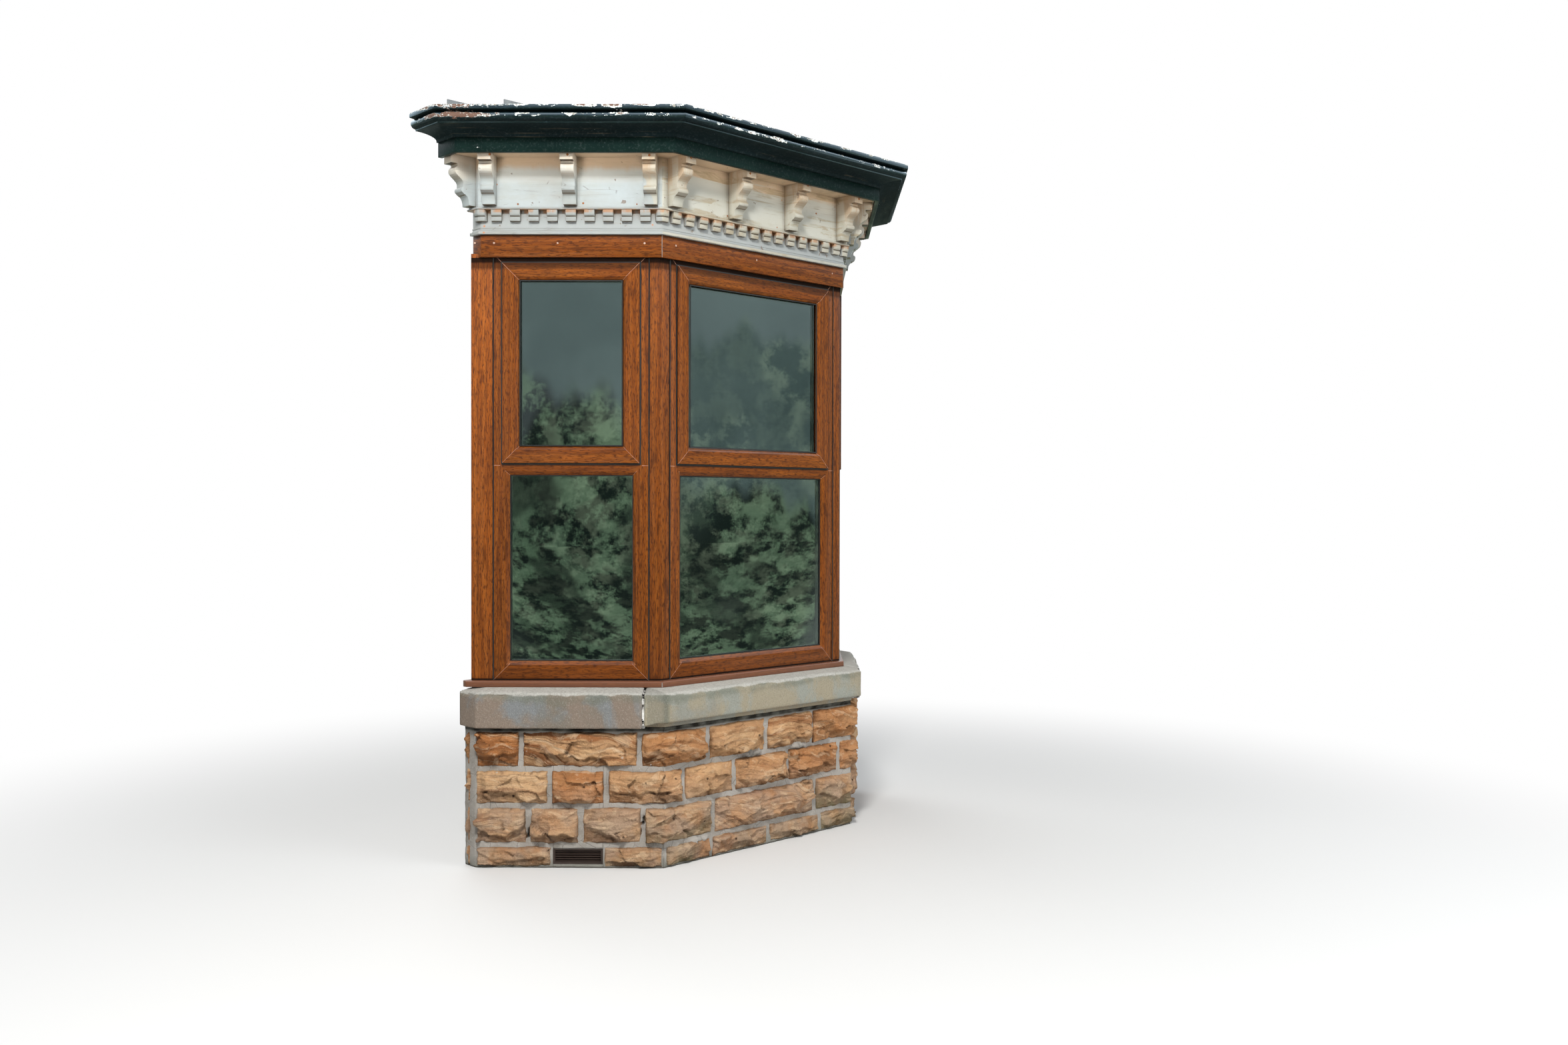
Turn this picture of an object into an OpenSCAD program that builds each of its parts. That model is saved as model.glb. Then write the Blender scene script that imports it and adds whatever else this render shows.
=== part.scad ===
// Canted bay window of one storey: stone plinth and sill, three woodgrain windows,
// a painted timber entablature with scroll brackets, a moulded gutter and a lead roof.
// X runs along the house wall, Y into the house, Z up. The origin is on the ground,
// below the middle of the whole box.

/* [Plan] */
// Width of the front face between the two canted faces
front_w = 1130; // [900:10:1600]
// How far the front stands out from the house wall
projection = 600; // [480:10:800]
// Length of the short return that joins the entablature and the plinth to the wall
head_return = 58; // [40:1:100]
// Length of the sill's return, measured at the frame line
sill_return = 80; // [50:1:110]

/* [Plinth] */
// Height of the stone plinth under the sill
plinth_h = 605; // [450:5:800]
// Thickness of the stone wall
plinth_t = 300; // [220:5:340]
// How far the plinth's face stands out from the frames
plinth_out = 60; // [40:1:80]
// Width of the air vent
vent_w = 215; // [150:1:260]
// Height of the air vent
vent_h = 68; // [50:1:90]
// Height of the vent's lower edge above the ground
vent_z = 15; // [10:1:40]
// Distance of the vent's near end from the front corner
vent_from_corner = 241; // [200:1:400]

/* [Sill] */
// Height of the stone sill's face
sill_face_h = 150; // [100:5:200]
// How much the sill's top rises towards the frame
sill_weathering = 16; // [8:1:30]
// How far the sill stands out from the frames
sill_out = 105; // [85:1:130]
// Distance from the front corner to the joint in the sill
sill_joint_from_corner = 60; // [50:1:200]
// Width of the mortar joint in the sill
sill_joint_w = 8; // [4:1:12]
// How much the underside of the front stone's nose is higher than the side stones'
sill_nose_rise = 24; // [0:1:40]
// How far the sill reaches back under the frames
sill_back = 90; // [75:1:110]

/* [Windows] */
// Height of the whole window frame
frame_h = 1841; // [1500:1:2100]
// Depth of the frame from front to back
frame_depth = 70; // [60:1:80]
// Width of a frame member's flat face
frame_face = 54; // [46:1:64]
// Width of the sloped edge beside the glass
bevel = 16; // [10:1:20]
// Height of the lower pane between the sloped edges
lower_glass_h = 806; // [500:1:1000]
// Height of the plastic cill under the frames
sub_cill_h = 28; // [20:1:40]
// How far the plastic cill's nose stands out
sub_cill_out = 22; // [14:1:40]
// Length cut off the plastic cill's end at the wall
sub_cill_cut = 24; // [5:1:40]
// Width of each face of a corner post
post_face = 51; // [44:1:70]
// Width of the jamb board beside the wall
jamb_face = 96; // [70:1:130]
// Width left between the jamb board's edge and the wall, along the canted face
jamb_gap = 29; // [20:1:50]
// How far the casement lies inside the frame's outer edge
casement_inset = 40; // [34:1:44]
// Width of the casement's flat face
casement_face = 58; // [50:1:64]
// How far the casement stands out in front of the frame
casement_proud = 10; // [6:1:14]
// Thickness of a sealed glass unit
glass_t = 28; // [20:1:30]
// Thickness of one pane in a sealed unit
pane_t = 4; // [3:1:6]

/* [Entablature] */
// Height of the brown board over the windows
fascia_h = 96; // [70:1:140]
// Thickness of the brown board and of the strip behind the dentils
fascia_t = 15; // [10:1:20]
// How far the brown board laps over the window frames
fascia_lap = 17; // [5:1:25]
// Height of the moulding under the dentils
base_mould_h = 31; // [20:1:40]
// Height of the strip that carries the dentils
dentil_band_h = 72; // [50:1:90]
// Width of one dentil
dentil_w = 44; // [30:1:60]
// Height of one dentil
dentil_h = 48; // [30:1:50]
// Least distance between dentils, middle to middle
dentil_pitch = 77; // [65:1:110]
// How far the dentils and the ledge over them stand out from the frames
ledge_out = 45; // [36:1:60]
// Thickness of the ledge over the dentils
ledge_t = 10; // [6:1:16]
// Height of the frieze between ledge and soffit
frieze_h = 213; // [180:1:260]
// How far the frieze stands out from the frames
frieze_out = 34; // [26:1:40]
// Width of one bracket
bracket_w = 56; // [40:1:60]
// How far a bracket stands out from the frieze
bracket_out = 122; // [90:1:126]
// Distance from a corner of the frieze to the middle of the first bracket
bracket_from_corner = 52; // [46:1:80]
// Thickness of the soffit boards
soffit_t = 15; // [10:1:20]

/* [Cornice and gutter] */
// How far the black board stands out from the frames
board_out = 185; // [180:1:220]
// Height of the black board
board_h = 61; // [50:1:90]
// Thickness of the black board
board_t = 20; // [15:1:25]
// How far the gutter's lip stands out from the frames
gutter_out = 320; // [290:1:360]
// Height of the gutter moulding
gutter_h = 99; // [85:1:130]
// Thickness of the gutter's back and floor
gutter_t = 22; // [16:1:26]

/* [Roof] */
// Pitch of the roof in degrees
roof_pitch = 12; // [8:0.5:16]
// Thickness of the roof boards
deck_t = 18; // [15:1:25]
// Thickness of the lead sheets
lead_t = 3; // [2:0.5:5]
// Radius of the lead rolls on the hips
roll_r = 16; // [12:1:22]
// Width of a rafter
rafter_w = 45; // [38:1:60]
// Depth of a rafter
rafter_h = 95; // [80:1:100]
// Height of the highest lead step above the foot of the flashing
flashing_h = 75; // [60:1:120]

/* [Inside] */
// Height of the floor's top above the ground
floor_z = 170; // [100:5:250]
// Thickness of the floor boards
floor_t = 22; // [18:1:30]
// Depth of the floor joists
joist_h = 120; // [70:5:140]
// Thickness of the plaster inside the plinth
plaster_t = 15; // [10:1:25]
// Thickness of the window board
window_board_t = 25; // [18:1:32]
// Height of the room's ceiling above the top of the frames
ceiling_above_frame = 60; // [20:5:150]

/* [Hidden] */
$fn = 48;

brown = "sienna";
white_paint = "whitesmoke";
black_paint = "darkslategray";
stone = "peru";
timber = "burlywood";

// Plan: the canted faces turn 45 degrees, so each corner between them turns 45 degrees
half_turn = tan(22.5);
wall_y = (projection + gutter_out) / 2;
front_y = wall_y - projection;
head_half_w = front_w / 2 + projection - head_return;
sill_half_w = front_w / 2 + projection - sill_return;
// Longer than any piece: reach of the solids that only cut or limit others
reach = 4 * (front_w + projection);

// Levels, from the ground up
sill_top = plinth_h + sill_face_h + sill_weathering;
frame_z0 = sill_top + sub_cill_h;
frame_z1 = frame_z0 + frame_h;
fascia_z0 = frame_z1 - fascia_lap;
band_z0 = fascia_z0 + fascia_h;
dentil_z1 = band_z0 + base_mould_h + dentil_band_h;
frieze_z0 = dentil_z1 + ledge_t;
soffit_z0 = frieze_z0 + frieze_h;
board_z0 = soffit_z0 - soffit_t;
gutter_z0 = board_z0 + board_h;
gutter_z1 = gutter_z0 + gutter_h;
ceiling_z0 = frame_z1 + ceiling_above_frame;

// Inside of the plinth, measured like the other offsets from the frame line
inner_o = plinth_out - plinth_t;

// Glass: rebates, clearances and levels in a window unit
rebate = 4;
rebate_step = 2;
leg_t = 6;
glass_edge = 5;
frame_slope_d = 14;
glass_d = frame_slope_d + leg_t;
member = frame_face + bevel;
rail = member + 12; // the bottom rail is a little taller than the other members
front_unit_w = front_w - 2 * post_face;
side_face = projection * sqrt(2);
jamb_w = jamb_gap + jamb_face;
side_unit_w = side_face - jamb_w - post_face;
transom_flat = 49;
transom_z = rail + lower_glass_h + bevel + transom_flat / 2;

// Corner between canted and front face at offset o, left side
function corner(o) = [-(front_w / 2 + half_turn * o), front_y - o];
// Corner between return and canted face where the frame line's half width is h
function shoulder(o, h) = [-(h + o), corner(o).x + corner(o).y + h + o];
// Left half of an outline from the wall to the front corner
function left_half(o, h) =
    let (a = shoulder(o, h), b = corner(o))
    a.y < wall_y - 1 ? [[a.x, wall_y], a, b] : [[b.x + b.y - wall_y, wall_y], b];
function mirrored(points) = [for (p = points) [-p.x, p.y]];
function reversed(points) = [for (i = [len(points) - 1:-1:0]) points[i]];
// Full outline from the wall on the left to the wall on the right
function outline(o, h) = concat(left_half(o, h), reversed(mirrored(left_half(o, h))));

// Half width that leaves no return: the canted face runs straight to the wall
no_return = 5000;

// A band between two offsets, from wall to wall
module band(o_in, o_out, h, z0, z1) {
    translate([0, 0, z0]) linear_extrude(z1 - z0)
        polygon(concat(outline(o_out, h), reversed(outline(o_in, h))));
}

// The left part of a band, up to the mitre at the front corner
module left_band(o_in, o_out, h, z0, z1) {
    translate([0, 0, z0]) linear_extrude(z1 - z0)
        polygon(concat(left_half(o_out, h), reversed(left_half(o_in, h))));
}

// The front part of a band, between its two mitres
module front_band(o_in, o_out, z0, z1) {
    translate([0, 0, z0]) linear_extrude(z1 - z0)
        polygon([corner(o_out), mirrored([corner(o_out)])[0],
            mirrored([corner(o_in)])[0], corner(o_in)]);
}

module mirror_x() {
    mirror([1, 0, 0]) children();
}

module both_sides() {
    children();
    mirror_x() children();
}

// Places children on the left canted face: X along it towards the front corner,
// Y into the house, Z up, with the front corner at X = side_face
module on_side() {
    translate([-front_w / 2 - projection, wall_y, 0]) rotate([0, 0, -45]) children();
}

// Places children on the front face, X from its left corner
module on_front() {
    translate([-front_w / 2, front_y, 0]) children();
}

// Plan quadrilaterals of the mitred lengths: 0 return, 1 canted face, 2 front
function length_plan(i, o_in, o_out, h) =
    let (a_out = left_half(o_out, h), a_in = left_half(o_in, h))
    i == 0 ? [a_out[0], a_out[1], a_in[1], a_in[0]]
    : i == 1 ? [a_out[1], a_out[2], a_in[2], a_in[1]]
    : [corner(o_out), mirrored([corner(o_out)])[0], mirrored([corner(o_in)])[0], corner(o_in)];

// A moulded length: profile points are [offset, height], mitred at both ends
module moulded_length(i, profile, o_in, o_out, h) {
    z_list = [for (p = profile) p.y];
    intersection() {
        translate([0, 0, min(z_list) - 1]) linear_extrude(max(z_list) - min(z_list) + 2)
            polygon(length_plan(i, o_in, o_out, h));
        translate(i == 0 ? [-h, front_y, 0] : [corner(0).x, front_y, 0])
            rotate([0, 0, i == 0 ? -90 : i == 1 ? -45 : 0])
            translate([-reach / 2, 0, 0]) rotate([90, 0, 90]) linear_extrude(reach)
            polygon([for (p = profile) [-p.x, p.y]]);
    }
}

// Left part of a moulding: return and canted face
module left_moulding(profile, o_in, o_out, h) {
    moulded_length(0, profile, o_in, o_out, h);
    moulded_length(1, profile, o_in, o_out, h);
}

module full_moulding(profile, o_in, o_out, h) {
    both_sides() left_moulding(profile, o_in, o_out, h);
    moulded_length(2, profile, o_in, o_out, h);
}

// Points of an oval arc from angle a0 to a1, with n steps
function oval(cx, cy, rx, ry, a0, a1, n = 6) =
    [for (i = [0:n]) [cx + rx * cos(a0 + (a1 - a0) * i / n), cy + ry * sin(a0 + (a1 - a0) * i / n)]];
function arc(cx, cy, r, a0, a1, n = 6) = oval(cx, cy, r, r, a0, a1, n);

// Stone plinth
module plinth_left_mass() {
    left_band(inner_o, plinth_out, head_half_w, 0, plinth_h);
    left_band(inner_o, -sill_back, head_half_w, plinth_h - 1, sill_top);
}

module vent_recess(depth) {
    on_side() translate([side_face - vent_from_corner - vent_w, -plinth_out - 1, vent_z])
        cube([vent_w, depth + 1, vent_h]);
}

vent_recess_d = 60;
module plinth_left() {
    color(stone) difference() {
        plinth_left_mass();
        vent_recess(vent_recess_d);
    }
}

module plinth_right() {
    mirror_x() plinth_left();
}

module plinth_front() {
    color(stone) {
        front_band(inner_o, plinth_out, 0, plinth_h);
        front_band(inner_o, -sill_back, plinth_h - 1, sill_top);
    }
}

// Louvred air vent: a frame with sloping slats
vent_rim = 9;
vent_set_back = 8;
vent_back_t = 6;
vent_slats = 5;
slat_set_back = 4;
slat_section = [[0, 0], [2, 0], [-4, 16], [-6, 16]];
module air_vent() {
    slat_pitch = (vent_h - 2 * vent_rim) / vent_slats;
    translate([side_face - vent_from_corner - vent_w, -plinth_out + vent_set_back, vent_z]) {
        difference() {
            cube([vent_w, vent_recess_d - vent_set_back, vent_h]);
            translate([vent_rim, -1, vent_rim])
                cube([vent_w - 2 * vent_rim, vent_recess_d - vent_set_back - vent_back_t,
                    vent_h - 2 * vent_rim]);
        }
        for (i = [0:vent_slats - 1])
            translate([vent_rim, slat_set_back, vent_rim + (i + 0.35) * slat_pitch])
                rotate([0, 90, 0]) linear_extrude(vent_w - 2 * vent_rim)
                polygon(slat_section);
    }
}

module air_vents() {
    color("dimgray") both_sides() on_side() air_vent();
}

// Stone sill: its top falls outwards, and a groove runs under its nose
throat = 10;
throat_o = plinth_out + 14;
function sill_profile(nose_rise) =
    let (nose_z = plinth_h + nose_rise)
    concat(
        [[-sill_back, plinth_h]],
        nose_rise > 0 ? [[plinth_out, plinth_h], [plinth_out, nose_z]] : [],
        [[throat_o, nose_z], [throat_o, nose_z + throat], [throat_o + throat, nose_z + throat],
        [throat_o + throat, nose_z], [sill_out, nose_z], [sill_out, plinth_h + sill_face_h],
        [sub_cill_out, sill_top], [-sill_back, sill_top]]
    );

// Everything on the canted face's line from a distance before the front corner onwards
module beyond(from_corner) {
    on_side() translate([side_face - from_corner, -reach / 2, 0]) cube([reach, reach, frame_z1]);
}

module sill_left() {
    color("darkgray") difference() {
        left_moulding(sill_profile(0), -sill_back, sill_out, sill_half_w);
        beyond(sill_joint_from_corner + sill_joint_w);
    }
}

module sill_right() {
    mirror_x() sill_left();
}

// The front stone wraps the corner, where its underside climbs to the front's level
module sill_wrap() {
    joint_rise = sill_nose_rise / 3;
    difference() {
        intersection() {
            moulded_length(1, sill_profile(0), -sill_back, sill_out, sill_half_w);
            beyond(sill_joint_from_corner);
        }
        on_side() translate([side_face, -plinth_out, plinth_h]) rotate([90, 0, 0])
            linear_extrude(sill_out)
            polygon([[-sill_joint_from_corner - 1, -1], [-sill_joint_from_corner - 1, joint_rise],
                [0, sill_nose_rise], [sill_out, sill_nose_rise], [sill_out, -1]]);
    }
}

module sill_front() {
    color("darkgray") {
        moulded_length(2, sill_profile(sill_nose_rise), -sill_back, sill_out, sill_half_w);
        both_sides() sill_wrap();
    }
}

// Plastic cill under the frames, with a sloping top and a rolled nose
nose_r = 6;
nose_fall = 2;
sub_cill_nose_z = frame_z0 - nose_r - nose_fall;
sub_cill_profile = concat(
    [[-frame_depth, sill_top], [sub_cill_out, sill_top]],
    [[sub_cill_out, sub_cill_nose_z]],
    arc(sub_cill_out - nose_r, sub_cill_nose_z, nose_r, 0, 80, 4),
    [[0, frame_z0], [-frame_depth, frame_z0]]
);

module sub_cill() {
    half_w = front_w / 2 + projection + half_turn * sub_cill_out - sub_cill_cut;
    color("rosybrown") {
        both_sides() cant_moulding(sub_cill_profile, -frame_depth, sub_cill_out, half_w);
        moulded_length(2, sub_cill_profile, -frame_depth, sub_cill_out, no_return);
    }
}

// A moulded length on the canted face whose end is cut square to the wall
module cant_moulding(profile, o_in, o_out, h) {
    z_list = [for (p = profile) p.y];
    intersection() {
        translate([0, 0, min(z_list) - 1]) linear_extrude(max(z_list) - min(z_list) + 2)
            polygon(concat(left_half(o_out, h), reversed(left_half(o_in, h))));
        on_side() translate([-reach / 2, 0, 0]) rotate([90, 0, 90]) linear_extrude(reach)
            polygon([for (p = profile) [-p.x, p.y]]);
    }
}

// Jamb board beside the wall, with a groove beside the frame. Its back is cut to the wall
groove = 3;
module jamb_left() {
    along = [1, -1] / sqrt(2);
    inward = [1, 1] / sqrt(2);
    wall_end = left_half(0, no_return)[0];
    outer_end = wall_end + jamb_gap * along;
    frame_end = wall_end + jamb_w * along;
    color(brown) translate([0, 0, frame_z0]) linear_extrude(frame_h)
        polygon([outer_end, frame_end - groove * along,
            frame_end - groove * along + groove * inward, frame_end + groove * inward,
            frame_end + frame_depth * inward, left_half(-frame_depth, no_return)[0],
            outer_end + jamb_gap * inward]);
}

module jamb_right() {
    mirror_x() jamb_left();
}

// Corner post: two faces that meet in a small crease, with a groove beside each frame
crease = 3;
module corner_post_left() {
    c = corner(0);
    back = [-1, 1] / sqrt(2);
    inward = [1, 1] / sqrt(2);
    side = c + post_face * back;
    color(brown) translate([0, 0, frame_z0]) linear_extrude(frame_h)
        polygon([side + groove * inward, side - groove * back + groove * inward,
            side - groove * back, c + crease * back, c + [0, crease], c + [crease, 0],
            c + [post_face - groove, 0], c + [post_face - groove, groove],
            c + [post_face, groove], c + [post_face, frame_depth], corner(-frame_depth),
            side + frame_depth * inward]);
}

module corner_post_right() {
    mirror_x() corner_post_left();
}

// A bar of a window section along X. The section's points are
// [distance in from the outer edge, depth behind the face]
module section_bar(run, section) {
    rotate([90, 0, 90]) linear_extrude(run) polygon([for (p = section) [p.y, p.x]]);
}

// A rectangular ring of one section. The bars cross at the corners, and because the section
// only falls back towards the glass, they meet there in true mitres
module mitred_ring(w, h, section) {
    section_bar(w, section);
    translate([w, 0, h]) rotate([0, 180, 0]) section_bar(w, section);
    translate([0, 0, h]) rotate([0, 90, 0]) section_bar(h, section);
    translate([w, 0, 0]) rotate([0, -90, 0]) section_bar(h, section);
}

// Outer frame section: flat face, slope, glazing leg and rebate
frame_section = [
    [0, 0], [frame_face, 0], [member, frame_slope_d], [member, glass_d],
    [frame_face - rebate_step, glass_d], [frame_face - rebate_step, frame_depth], [0, frame_depth]
];

module transom(w) {
    flat = transom_flat / 2;
    half = flat + bevel;
    translate([frame_face / 2, 0, transom_z]) rotate([90, 0, 90]) linear_extrude(w - frame_face)
        polygon([[frame_slope_d, -half], [0, -flat], [0, flat], [frame_slope_d, half],
            [glass_d, half], [glass_d, flat - rebate_step], [frame_depth, flat - rebate_step],
            [frame_depth, -flat + rebate_step], [glass_d, -flat + rebate_step],
            [glass_d, -half]]);
}

// The taller bottom rail fills the frame up under the lower pane
module window_frame(w) {
    rebate_z = rail - bevel - rebate_step;
    color(brown) translate([0, 0, frame_z0]) {
        mitred_ring(w, frame_h, frame_section);
        translate([frame_face / 2, 0, 0]) rotate([90, 0, 90]) linear_extrude(w - frame_face)
            polygon([[0, 1], [0, rail - bevel], [frame_slope_d, rail], [glass_d, rail],
                [glass_d, rebate_z], [frame_depth, rebate_z], [frame_depth, 1]]);
        transom(w);
    }
}

module window_frame_left() {
    on_side() translate([jamb_w, 0, 0]) window_frame(side_unit_w);
}

module window_frame_right() {
    mirror_x() window_frame_left();
}

module window_frame_front() {
    on_front() translate([post_face, 0, 0]) window_frame(front_unit_w);
}

// Top hung casement: its flange laps over the frame's face
transom_lap = 14;
casement_z0 = frame_z0 + transom_z + transom_flat / 2 - transom_lap;
casement_z1 = frame_z1 - casement_inset;
casement_h = casement_z1 - casement_z0;
casement_member = casement_face + bevel;
casement_glass_d = 12;
sash_back_d = 60;
sash_edge = member + rebate - casement_inset;
arris = 2;
// Flange in front of the frame, and the body that stands inside the frame's opening
flange_section = [
    [0, 0], [0, arris - casement_proud], [arris, -casement_proud], [casement_face, -casement_proud],
    [casement_member, casement_glass_d - leg_t], [casement_member, casement_glass_d],
    [casement_face - rebate_step, casement_glass_d], [casement_face - rebate_step, 0]
];
body_w = casement_face - rebate_step - sash_edge;
body_section = [
    [0, arris - casement_proud], [body_w, arris - casement_proud],
    [body_w, sash_back_d], [0, sash_back_d]
];

module casement(w) {
    outer_w = w - 2 * casement_inset;
    color(brown) translate([casement_inset, 0, casement_z0]) {
        mitred_ring(outer_w, casement_h, flange_section);
        translate([sash_edge, 0, sash_edge])
            mitred_ring(outer_w - 2 * sash_edge, casement_h - 2 * sash_edge, body_section);
    }
}

module casement_left() {
    on_side() translate([jamb_w, 0, 0]) casement(side_unit_w);
}

module casement_right() {
    mirror_x() casement_left();
}

module casement_front() {
    on_front() translate([post_face, 0, 0]) casement(front_unit_w);
}

// Places of the two sealed units of a window: [edge in from the unit's side, bottom, top, depth]
glass_in = glass_edge - rebate_step;
lower_edge = frame_face + glass_in;
lower_z0 = frame_z0 + rail - bevel + glass_in;
lower_z1 = frame_z0 + transom_z - transom_flat / 2 - glass_in;
upper_edge = casement_inset + casement_face + glass_in;
upper_z0 = casement_z0 + casement_face + glass_in;
upper_z1 = casement_z1 - casement_face - glass_in;
lower_unit = [lower_edge, lower_z0, lower_z1, glass_d];
upper_unit = [upper_edge, upper_z0, upper_z1, casement_glass_d];

module panes(w, unit) {
    for (d = [0, glass_t - pane_t])
        translate([unit[0], unit[3] + d, unit[1]])
            cube([w - 2 * unit[0], pane_t, unit[2] - unit[1]]);
}

module glass(w) {
    color("lightblue", 0.4) {
        panes(w, lower_unit);
        panes(w, upper_unit);
    }
}

module glass_left() {
    on_side() translate([jamb_w, 0, 0]) glass(side_unit_w);
}

module glass_right() {
    mirror_x() glass_left();
}

module glass_front() {
    on_front() translate([post_face, 0, 0]) glass(front_unit_w);
}

// Bright bars that hold the two panes of a sealed unit apart
spacer_w = 18;
module spacer_ring(w, unit) {
    gap = glass_t - 2 * pane_t;
    translate([unit[0], unit[3] + pane_t, unit[1]]) difference() {
        cube([w - 2 * unit[0], gap, unit[2] - unit[1]]);
        translate([spacer_w, -1, spacer_w])
            cube([w - 2 * unit[0] - 2 * spacer_w, gap + 2, unit[2] - unit[1] - 2 * spacer_w]);
    }
}

module at_each_window() {
    both_sides() on_side() translate([jamb_w, 0, 0]) {
        $unit_w = side_unit_w;
        children();
    }
    on_front() translate([post_face, 0, 0]) {
        $unit_w = front_unit_w;
        children();
    }
}

module spacer_bars() {
    color("lightgray") at_each_window() {
        spacer_ring($unit_w, lower_unit);
        spacer_ring($unit_w, upper_unit);
    }
}

// Glazing beads on the room side, sloped towards the glass
bead_w = bevel + rebate_step;
bead_lip = 4;
bead_d = 18;
bead_section = [[0, 0], [bead_w, 0], [bead_w, bead_lip], [bead_w / 3, bead_d], [0, bead_d]];
module bead_ring(w, edge, z0, z1, depth) {
    translate([edge, depth, z0]) mitred_ring(w - 2 * edge, z1 - z0, bead_section);
}

module glazing_beads() {
    color(brown) at_each_window() {
        bead_ring($unit_w, lower_edge - glass_edge, lower_z0 - glass_edge, lower_z1 + glass_edge,
            glass_d + glass_t);
        bead_ring($unit_w, upper_edge - glass_edge, upper_z0 - glass_edge, upper_z1 + glass_edge,
            casement_glass_d + glass_t);
    }
}

// Casement handle at the middle of the bottom rail, inside
handle_base = [60, 6, 20];
handle_stem_r = 8;
handle_stem_l = 30;
handle_grip = [105, 10, 16];
module handle(w) {
    translate([w / 2, sash_back_d, casement_z0 + (sash_edge + casement_face) / 2]) {
        translate([-handle_base.x / 2, 0, -handle_base.z / 2]) cube(handle_base);
        rotate([-90, 0, 0]) cylinder(r = handle_stem_r, h = handle_stem_l);
        translate([-handle_stem_r, handle_stem_l - 4, -handle_grip.z / 2]) cube(handle_grip);
    }
}

module window_handles() {
    color("gainsboro") at_each_window() handle($unit_w);
}

// Timber head that carries the entablature and the roof
module head_beam() {
    color(timber) band(-frame_depth, 0, head_half_w, frame_z1, soffit_z0);
}

module fascia() {
    color(brown) band(0, fascia_t, head_half_w, fascia_z0, band_z0);
}

// Strip behind the dentils, with a moulded foot
foot_out = fascia_t + 16;
foot_face_h = 12;
cove_r = 14;
step_out = fascia_t + 4;
cove_z = band_z0 + foot_face_h + cove_r;
dentil_band_profile = concat(
    [[0, band_z0], [foot_out, band_z0], [foot_out, band_z0 + foot_face_h]],
    arc(foot_out, cove_z, cove_r, -90, -180, 5),
    [[step_out, cove_z], [step_out, band_z0 + base_mould_h],
    [fascia_t, band_z0 + base_mould_h], [fascia_t, dentil_z1], [0, dentil_z1]]
);

module dentil_band() {
    color(white_paint) full_moulding(dentil_band_profile, 0, foot_out, head_half_w);
}

// Dentil section: a rounded head, a small step and a flat foot
dentil_out = ledge_out - 5;
dentil_head_r = 14;
dentil_step_z = dentil_z1 - 30;
dentil_foot_out = dentil_out - 5;
dentil_section = concat(
    [[fascia_t, dentil_z1]], [[dentil_out, dentil_z1]],
    arc(dentil_out - dentil_head_r, dentil_z1 - dentil_head_r, dentil_head_r, 0, -80, 5),
    [[dentil_foot_out - 4, dentil_step_z], [dentil_foot_out, dentil_step_z],
    [dentil_foot_out - 2, dentil_z1 - dentil_h], [fascia_t, dentil_z1 - dentil_h]]
);

module dentil() {
    translate([-dentil_w / 2, 0, 0]) rotate([90, 0, 90]) linear_extrude(dentil_w)
        polygon([for (p = dentil_section) [-p.x, p.y]]);
}

// Width of a face of the entablature at offset o
side_head_w = (head_half_w - front_w / 2) * sqrt(2);
function side_w(o) = side_head_w + 2 * half_turn * o;
function front_face_w(o) = front_w + 2 * half_turn * o;
// Even steps between the two corners of a face
function steps(length, pitch) = max(2, floor(length / pitch));

// Dentils that wrap a corner, cut from the moulded lengths
module wrap_dentils(point, turn) {
    wrap = dentil_w * 0.62;
    intersection() {
        full_moulding(dentil_section, fascia_t, dentil_out, head_half_w);
        both_sides() translate([point.x, point.y, dentil_z1 - dentil_h - 1]) rotate([0, 0, turn])
            translate([-wrap, -dentil_w, 0]) cube([2 * wrap, 2 * dentil_w, dentil_h + 2]);
    }
}

module dentils() {
    n_side = steps(side_w(dentil_out), dentil_pitch);
    n_front = steps(front_face_w(dentil_out), dentil_pitch);
    shift = half_turn * dentil_out;
    color(white_paint) {
        both_sides() on_side() for (i = [1:n_side - 1])
            translate([side_face - side_head_w - shift + i * side_w(dentil_out) / n_side, 0, 0])
                dentil();
        on_front() for (i = [1:n_front - 1])
            translate([-shift + i * front_face_w(dentil_out) / n_front, 0, 0]) dentil();
        wrap_dentils(corner(dentil_out), -22.5);
        wrap_dentils(shoulder(dentil_out, head_half_w), -67.5);
    }
}

ledge_edge = 3;
module ledge() {
    profile = [[0, dentil_z1], [ledge_out - ledge_edge, dentil_z1],
        [ledge_out, dentil_z1 + ledge_edge], [ledge_out, frieze_z0 - ledge_edge],
        [ledge_out - ledge_edge, frieze_z0], [0, frieze_z0]];
    color(white_paint) full_moulding(profile, 0, ledge_out, head_half_w);
}

module frieze() {
    color(white_paint) band(0, frieze_out, head_half_w, frieze_z0, soffit_z0);
}

// Scroll bracket: block, large roll that sweeps in to a neck, small roll and a hollow foot
bracket_h = frieze_h - 6;
block_h = 38;
function sweep_in(x0, z0, x1, z1, n = 8) =
    [for (i = [0:n]) [x0 + (x1 - x0) * (1 - cos(180 * i / n)) / 2, z0 + (z1 - z0) * i / n]];
function bracket_outline(out, h) = concat(
    [[0, 0], [out, 0], [out, -block_h], [out * 0.74, -block_h]],
    oval(out * 0.58, -h * 0.315, out * 0.26, h * 0.105, 52, 10, 4),
    sweep_in(out * 0.84, -h * 0.33, out * 0.50, -h * 0.57),
    oval(out * 0.50, -h * 0.70, out * 0.09, h * 0.06, 90, -70, 6),
    oval(out * 0.46, -h, out * 0.19, h * 0.21, 90, 180, 5),
    [[0, -h]]
);

module bracket() {
    translate([-bracket_w / 2, -frieze_out, soffit_z0]) rotate([90, 0, 90])
        linear_extrude(bracket_w)
        polygon([for (p = bracket_outline(bracket_out, bracket_h)) [-p.x, p.y]]);
}

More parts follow.
